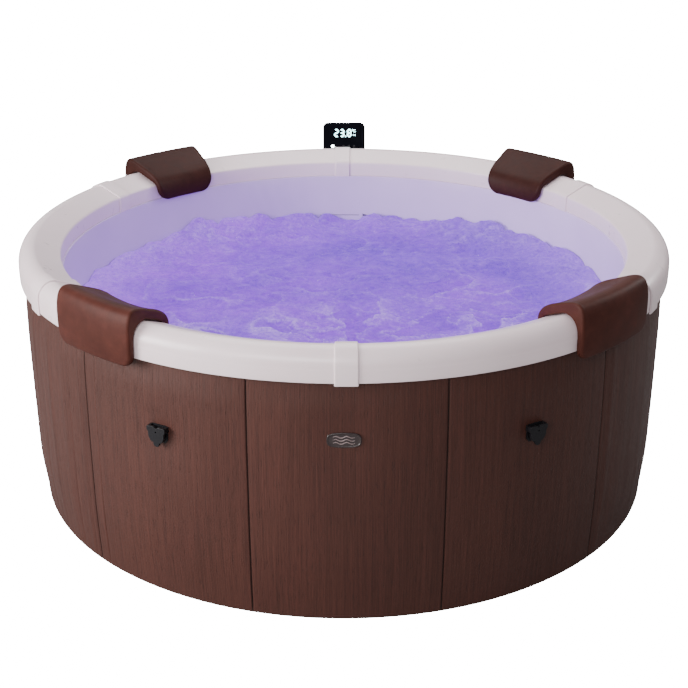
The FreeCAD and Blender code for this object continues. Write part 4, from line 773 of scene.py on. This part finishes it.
def build_liner():
    A = np.arange(-180, 180, 0.75)
    zs = np.concatenate([np.linspace(0.0225, 0.60, 30), [0.618, 0.634, 0.646, 0.654, 0.6590, 0.6614]])
    aa, zz = np.meshgrid(A, zs, indexing="ij")
    blend = np.clip((0.6614 - zz) / 0.02, 0, 1) * np.clip((zz - 0.02) / 0.05, 0, 1)
    r = 0.805 + (liner_radius(aa, zz) - 0.805) * blend
    P = polar(r, aa, zz)
    hem_r, hem_z = np.array([0.8058, 0.8235, 0.8235, 0.8235, 0.845, 0.862]), np.array([0.66185, 0.66185, 0.68, 0.7040, 0.7040, 0.7038])
    H = polar(np.broadcast_to(hem_r, (len(A), 6)), A[:, None], np.broadcast_to(hem_z, (len(A), 6)))
    P = np.concatenate([P, H], 1)
    vs = np.concatenate([zs, 0.6618 + np.cumsum([0.0015, 0.017, 0.021, 0.024, 0.0215, 0.017])])
    us = np.radians(np.append(A, 180)) * 0.805
    o = grid("liner_wall", P, wrap_u=True, us=us, vs=vs, flip=True)
    wear(o, VINYL)
    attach(o, "tub")
    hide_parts("basin_liner")
    rr = np.concatenate([np.linspace(0.0, 0.78, 40), [0.790, 0.7945, 0.7985, 0.8015, 0.8036, 0.8047, 0.805]])
    zf = np.concatenate([np.full(40, 0.0095), [0.0098, 0.0106, 0.0122, 0.0146, 0.0172, 0.020, 0.0225]])
    A2 = np.arange(-180, 180, 3.0)
    rr2, aa2 = np.meshgrid(rr, A2, indexing="ij")
    ripple = 0.0006 * np.sin(rr2 * 60 + np.radians(aa2) * 3) * np.clip((0.78 - rr2) / 0.1, 0, 1)
    F = polar(rr2, aa2, zf[:, None] + ripple)
    o = grid("liner_floor", F, wrap_v=True, us=rr, vs=np.radians(np.append(A2, 180)), flip=True)
    wear(o, VINYL)
    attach(o, "tub")
    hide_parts("basin_liner")


build_liner()


def build_level_mark():
    """A thin printed line with an arrow on the liner, at the water level."""
    A = np.linspace(176.2, 186.0, 24)
    z0 = 0.5212
    rows = []
    for dz in (-0.0009, 0.0009):
        rows.append(polar(liner_radius(A, np.full_like(A, z0)) - 0.0007, A, np.full_like(A, z0 + dz)))
    o = grid("level_line", np.stack(rows), us=[0, 0.002], vs=np.linspace(0, 0.13, 24), flip=True)
    ink, nt, b = new_material("level_ink")
    v = coords(nt, "Object", (1, 1, 1))
    nt.links.new(ramp(nt, noise_fac(nt, v, 3.0, 0.6, 300.0), [(0.3, (0.045, 0.035, 0.10)), (0.7, (0.09, 0.07, 0.17))]), b.inputs["Base Color"])
    b.inputs["Roughness"].default_value = 0.5
    wear(o, ink)
    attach(o, "tub")
    # arrow head, to the right of the line as seen from the front
    tip = []
    for da, dz in ((-0.75, 0.0), (0.75, 0.0052), (0.50, 0.0), (0.75, -0.0052)):
        a = 174.75 + da
        tip.append(polar(float(liner_radius(np.array([a]), np.array([z0]))[0]) - 0.0007, a, z0 + dz))
    me = bpy.data.meshes.new("level_arrow")
    me.from_pydata([tuple(t) for t in tip], [], [(0, 1, 2), (0, 2, 3)])
    finish_mesh(me, False)
    ar = link(bpy.data.objects.new("level_arrow", me))
    wear(ar, ink)
    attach(ar, "tub")


build_level_mark()


# ------------------------------------------------------------------ water: a foaming surface
def build_water():
    """Air-blown foam: soft billows that stand higher along the far wall, with wave fronts running across the near half."""
    rad = np.concatenate([np.linspace(0.004, 0.79, 180), [0.7935, 0.7965, 0.799, 0.801, 0.8025]])
    A = np.arange(-180, 180, 0.42)
    rr, aa = np.meshgrid(rad, A, indexing="ij")
    xy = polar(rr, aa, 0.0)
    X, Y = xy[..., 0].ravel(), xy[..., 1].ravel()
    nn, vor = noise.noise, noise.voronoi
    out = np.zeros((len(X), 7))
    for k in range(len(X)):
        x, y = X[k], Y[k]
        wx = x + 0.060 * nn(Vector((x * 6, y * 6, 3.1))) + 0.012 * nn(Vector((x * 26, y * 26, 1.1)))
        wy = y + 0.060 * nn(Vector((x * 6, y * 6, 8.7))) + 0.012 * nn(Vector((x * 26, y * 26, 6.1)))
        d1 = vor(Vector((wx * 7.2, wy * 7.2, 1.3)))[0]
        d2 = vor(Vector((wx * 18.0, wy * 18.0, 4.3)))[0]
        out[k, 0] = nn(Vector((x * 3.1, y * 3.1, 0.4)))
        out[k, 1] = nn(Vector((wx * 6.0, wy * 6.0, 5.2)))
        out[k, 2] = (1.0 - min(1.0, d1[0] * 1.15) ** 2) * min(1.0, 0.35 + 2.4 * (d1[1] - d1[0]))
        out[k, 3] = (1.0 - min(1.0, d2[0] * 1.2) ** 2) * min(1.0, 0.4 + 2.2 * (d2[1] - d2[0]))
        out[k, 4] = nn(Vector((wx * 5.4 + 4.0, wy * 7.0, 2.2))) + 0.30 * nn(Vector((wx * 15.0, wy * 18.0, 5.5)))
        out[k, 5] = nn(Vector((wx * 11.0, wy * 13.0 + 3.0, 9.4))) + 0.30 * nn(Vector((wx * 27.0, wy * 32.0, 2.5)))
        out[k, 6] = nn(Vector((wx * 46.0, wy * 46.0, 7.7)))
    low, mid, dome1, dome2, f1, f2, tiny = (out[:, i].reshape(rr.shape) for i in range(7))

    def front(v, fade):
        """A wave front: a thin bright crest that fades away on one side."""
        return np.where(v > 0, np.exp(-v / fade), np.exp(-(v / (fade * 0.16)) ** 2))

    w1 = front(f1, 0.11) * np.clip(0.5 + 2.2 * mid, 0, 1)
    w2 = front(f2, 0.10) * np.clip(0.35 - 2.0 * low, 0, 1)
    near = np.clip((0.25 - xy[..., 1]) / 0.55, 0, 1)
    t = np.clip((rr - 0.56) / 0.22, 0, 1)
    wall = t * t * (3 - 2 * t)
    far = wall * np.clip(xy[..., 1] / 0.5, 0, 1)
    billow = (0.35 + 0.65 * np.clip(0.5 + 1.1 * mid, 0, 1))
    z = 0.4985 + 0.006 * low + (0.013 + 0.025 * far + 0.005 * wall) * billow * dome1 + 0.0060 * dome2 * (0.5 + 1.0 * far) + 0.0016 * tiny * (1 + 0.8 * far)
    z = z + (0.011 * w1 + 0.006 * w2) * (0.35 + 0.65 * near) * (1 - 0.6 * far) + 0.004 * wall
    z = z + 0.027 * far * (1 - 1.15 * np.exp(-((180 - np.abs(aa)) / 15.0) ** 2)) * (0.8 + 0.4 * np.clip(mid, -1, 1))
    meniscus = np.clip((rr - 0.775) / 0.0275, 0, 1)
    z = z - 0.010 * meniscus ** 2
    crest = (0.62 * w1 + 0.42 * w2) * (0.30 + 0.70 * near) + 0.16 * dome2 * far + 0.22 * np.clip(tiny, 0, 1) * (0.4 + 0.6 * far)
    # mask for the painted shade in the hollows between the billows
    hollow_shade = np.clip(0.75 - dome1, 0, 1) * 0.5 * (1 - wall) * np.clip(0.4 - mid * 1.6, 0, 1)
    side = np.abs(np.sin(np.radians(aa))) ** 1.5
    front_side = np.clip(np.cos(np.radians(aa)), 0, 1)
    # e is the mask for that painted wall glow: strongest near the side and front walls
    e = np.clip((rr - 0.54) / 0.26, 0, 1) ** 1.4 * np.clip(side + 0.6 * front_side, 0, 1)
    P = polar(rr, aa, z)
    P = np.concatenate([np.broadcast_to(P[:1].mean(1, keepdims=True), P[:1].shape), P])

    def grown(v):
        return np.concatenate([np.broadcast_to(v[:1].mean(), v[:1].shape), v])

    o = grid("foam_surface", P, wrap_v=True, us=np.concatenate([[0], rad]), vs=np.radians(np.append(A, 180)), flip=True,
             attrs={"crest": grown(crest), "hollow_shade": grown(hollow_shade), "edge": grown(e), "bluer": grown(np.clip(0.5 + 0.9 * xy[..., 0] + 0.8 * low, 0, 1))})
    wear(o, WATER)
    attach(o, "tub")
    return o


build_water()


# ------------------------------------------------------------------ badge: a plain raised plate with a ripple
def build_badge():
    lo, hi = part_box("badge")
    w, hgt = (hi.x - lo.x) / 2, (hi.z - lo.z) / 2
    cz, back, front = (hi.z + lo.z) / 2, hi.y, lo.y
    n = 64
    t = np.linspace(0, 2 * np.pi, n, endpoint=False)
    ex = 3.2
    cx = np.sign(np.cos(t)) * np.abs(np.cos(t)) ** (2 / ex)
    sz = np.sign(np.sin(t)) * np.abs(np.sin(t)) ** (2 / ex)
    rings = [(1.0, back), (1.0, front + 0.0016), (0.985, front + 0.0006), (0.95, front + 0.0001), (0.90, front), (0.865, front + 0.0003), (0.85, front + 0.0012),
             (0.83, front + 0.0015), (0.55, front + 0.0014), (0.25, front + 0.0013), (0.02, front + 0.0013)]
    P = []
    for k, y in rings:
        shrink = (1 - k) * hgt
        P.append(np.stack([cx * (w - shrink if k > 0.3 else w * k), np.full(n, y), cz + sz * (hgt * k)], -1))
    o = grid("badge_plate", np.stack(P), wrap_v=True, flip=False)
    bm = bmesh.new()
    bm.from_mesh(o.data)
    bmesh.ops.contextual_create(bm, geom=[e for e in bm.edges if e.is_boundary and all(v.co.y > back - 1e-5 for v in e.verts)])
    bmesh.ops.holes_fill(bm, edges=[e for e in bm.edges if e.is_boundary])
    bmesh.ops.recalc_face_normals(bm, faces=bm.faces)
    bm.to_mesh(o.data)
    bm.free()
    finish_mesh(o.data, True, 50)
    wear(o, plastic("badge_gloss", (0.030, 0.020, 0.020), 0.22, 700, 0.00004, 0.1, coat=0.3))
    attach(o, "tub")
    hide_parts("badge")
    # three raised ripple lines
    for k in range(3):
        x = np.linspace(-0.026, 0.026, 60)
        zc = cz + (k - 1) * 0.0078 + 0.0022 * np.sin(x / 0.052 * 4 * np.pi)
        taper = np.sqrt(np.clip(1 - (x / 0.0265) ** 2, 0, 1))
        rows = []
        for u in np.linspace(-1, 1, 7):
            rows.append(np.stack([x, np.full_like(x, front + 0.0014) - 0.0012 * (1 - u * u) * taper, zc + 0.0017 * u * taper], -1))
        r = grid("badge_ripple_%d" % (k + 1), np.stack(rows), flip=True)
        wear(r, plastic("ripple_%d" % k, (0.20, 0.145, 0.145), 0.3, 700, 0.00003, 0.1))
        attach(r, "tub")


build_badge()


# ------------------------------------------------------------------ display read-out
def screen_point(x, along, proud):
    """A point on the screen: metres across, up along the slab from the hinge, and in front of the glass."""
    t = math.radians(22.0)
    y, z = -(0.014 + proud), along
    return (x, 0.946 + y * math.cos(t) + z * math.sin(t), 0.645 - y * math.sin(t) + z * math.cos(t))


def plates(name, quads, mat, proud=0.0003):
    verts, faces = [], []
    for q in quads:
        base = len(verts)
        verts += [screen_point(x, z, proud) for x, z in q]
        faces.append(tuple(range(base, base + len(q))))
    me = bpy.data.meshes.new(name)
    me.from_pydata(verts, [], faces)
    finish_mesh(me, False)
    o = link(bpy.data.objects.new(name, me))
    wear(o, mat)
    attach(o, "display")
    return o


SEG = {"2": "abged", "3": "abgcd", "8": "abcdefg"}


def digit(ch, x, z, w, h, t, slant=0.0):
    """Seven-segment bars with pointed ends; x, z is the lower left corner."""
    out = []

    def hbar(zc):
        return [(x + t * 0.6, zc), (x + t * 1.1, zc + t / 2), (x + w - t * 1.1, zc + t / 2), (x + w - t * 0.6, zc), (x + w - t * 1.1, zc - t / 2), (x + t * 1.1, zc - t / 2)]

    def vbar(xc, z0, z1):
        return [(xc, z0 + t * 0.2), (xc + t / 2, z0 + t * 0.65), (xc + t / 2, z1 - t * 0.65), (xc, z1 - t * 0.2), (xc - t / 2, z1 - t * 0.65), (xc - t / 2, z0 + t * 0.65)]

    l, r, m_ = x + t / 2, x + w - t / 2, z + h / 2
    bars = {"a": hbar(z + h - t / 2), "g": hbar(m_), "d": hbar(z + t / 2), "b": vbar(r, m_, z + h - t / 2), "c": vbar(r, z + t / 2, m_),
            "f": vbar(l, m_, z + h - t / 2), "e": vbar(l, z + t / 2, m_)}
    for s in SEG[ch]:
        out.append(bars[s])
    return [[(px + slant * (pz - z), pz) for px, pz in b] for b in out]


def disc(cx, cz, r, n=20):
    return [(cx + r * math.cos(2 * math.pi * k / n), cz + r * math.sin(2 * math.pi * k / n)) for k in range(n)]


def build_readout():
    ice = glow("readout_ice", (0.50, 0.96, 1.0), 9.0)
    dim = glow("readout_white", (0.55, 0.95, 1.0), 6.0)
    z0, h, w, t = 0.1155, 0.0285, 0.0165, 0.0050
    quads = []
    quads += digit("2", -0.0350, z0, w, h, t) + digit("3", -0.0150, z0, w, h, t) + digit("8", 0.0105, z0, w, h, t)
    quads.append(disc(0.0058, z0 + 0.0022, 0.0024))
    plates("readout_digits", quads, ice)
    ring, n = [], 20
    for k in range(n):
        a0, a1 = 2 * math.pi * k / n, 2 * math.pi * (k + 1) / n
        cx, cz, r0, r1 = 0.0315, z0 + h - 0.003, 0.0016, 0.0029
        ring.append([(cx + r0 * math.cos(a0), cz + r0 * math.sin(a0)), (cx + r1 * math.cos(a0), cz + r1 * math.sin(a0)),
                     (cx + r1 * math.cos(a1), cz + r1 * math.sin(a1)), (cx + r0 * math.cos(a1), cz + r0 * math.sin(a1))])
    cc = []
    for k in range(14):
        a0, a1 = math.radians(50 + 260 * k / 14), math.radians(50 + 260 * (k + 1) / 14)
        cx, cz, r0, r1 = 0.0385, z0 + h - 0.0062, 0.0034, 0.0052
        cc.append([(cx + r0 * math.cos(a0), cz + r0 * math.sin(a0)), (cx + r1 * math.cos(a0), cz + r1 * math.sin(a0)),
                   (cx + r1 * math.cos(a1), cz + r1 * math.sin(a1)), (cx + r0 * math.cos(a1), cz + r0 * math.sin(a1))])
    plates("readout_unit", ring + cc, ice)
    drops = []
    for cx in (0.0335, 0.0395):
        drops.append([(cx, z0 + 0.0115), (cx + 0.0018, z0 + 0.0075), (cx + 0.0012, z0 + 0.0045), (cx - 0.0012, z0 + 0.0045), (cx - 0.0018, z0 + 0.0075)])
    plates("readout_icon", drops, dim)
    plates("power_light", [disc(-0.0405, 0.0825, 0.0052)], glow("power_white", (0.90, 1.0, 1.0), 30.0))
    # faint touch marks along the foot of the screen: plain rings
    marks = []
    for cx in (-0.002, 0.017, 0.036):
        for k in range(16):
            a0, a1 = 2 * math.pi * k / 16, 2 * math.pi * (k + 1) / 16
            r0, r1 = 0.0030, 0.0037
            marks.append([(cx + r0 * math.cos(a0), 0.083 + r0 * math.sin(a0)), (cx + r1 * math.cos(a0), 0.083 + r1 * math.sin(a0)),
                          (cx + r1 * math.cos(a1), 0.083 + r1 * math.sin(a1)), (cx + r0 * math.cos(a1), 0.083 + r0 * math.sin(a1))])
    plates("touch_marks", marks, plastic("touch_grey", (0.05, 0.05, 0.055), 0.4))


build_readout()

# ------------------------------------------------------------------ CAD nodes that stay: finished materials
dress(foam_board(), *["wall_board_%02d" % i for i in range(1, 13)])
dress(fabric("mat_felt", (0.16, 0.16, 0.17)), "ground_mat")
dress(BLACK, "cover_buckles")
dress(FITTING, "drain_valve", "lamp_housings", "suction_fitting", "air_fitting", "return_fitting")
dress(plastic("cap_dark", (0.04, 0.04, 0.045), 0.5, 700, 0.0002), "drain_cap")
dress(plastic("ring_pale", (0.66, 0.64, 0.74), 0.4, 600, 0.00008), "air_ring")
dress(lamp_glass(), "lamp_lenses")
dress(plastic("nut_dark", (0.045, 0.045, 0.05), 0.48, 700, 0.0002), "union_nut_suction", "union_nut_return", "union_nut_air", "power_gland")
dress(plastic("filter_grey", (0.68, 0.69, 0.74), 0.4, 700, 0.0001), "filter_housing", "filter_cap")
dress(pleated_paper(), "filter_cartridge")
dress(DARK, "unit_base", "unit_top_cover")
dress(plastic("foot_rubber_black", (0.02, 0.02, 0.02), 0.75, 500, 0.0002), "unit_feet")
dress(SHELL, "unit_front_shell", "unit_rear_shell")
dress(brushed("steel_brushed", (0.62, 0.62, 0.64)), "unit_screws", "display_hinge_pin", "heater")
dress(plastic("display_black", (0.006, 0.006, 0.009), 0.42, 900, 0.00008, spec=0.25), "display_housing")
dress(screen_glass(), "display_glass")
dress(plastic("pump_charcoal", (0.08, 0.08, 0.09), 0.55, 500, 0.0002), "pump_housing", "blower_housing")
dress(plastic("rotor_grey", (0.48, 0.49, 0.51), 0.45), "pump_rotor", "blower_fan")
dress(plastic("pipe_grey", (0.24, 0.24, 0.26), 0.5), "suction_pipe", "air_pipe")
dress(plastic("laminate_green", (0.03, 0.16, 0.07), 0.35, 400, 0.00005), "control_board")
for n, w in (("cover_buckles", 0.0006), ("unit_base", 0.0015), ("display_housing", 0.0008), ("display_glass", 0.0004), ("filter_cap", 0.001), ("unit_top_cover", 0.0006)):
    soften(n, w)
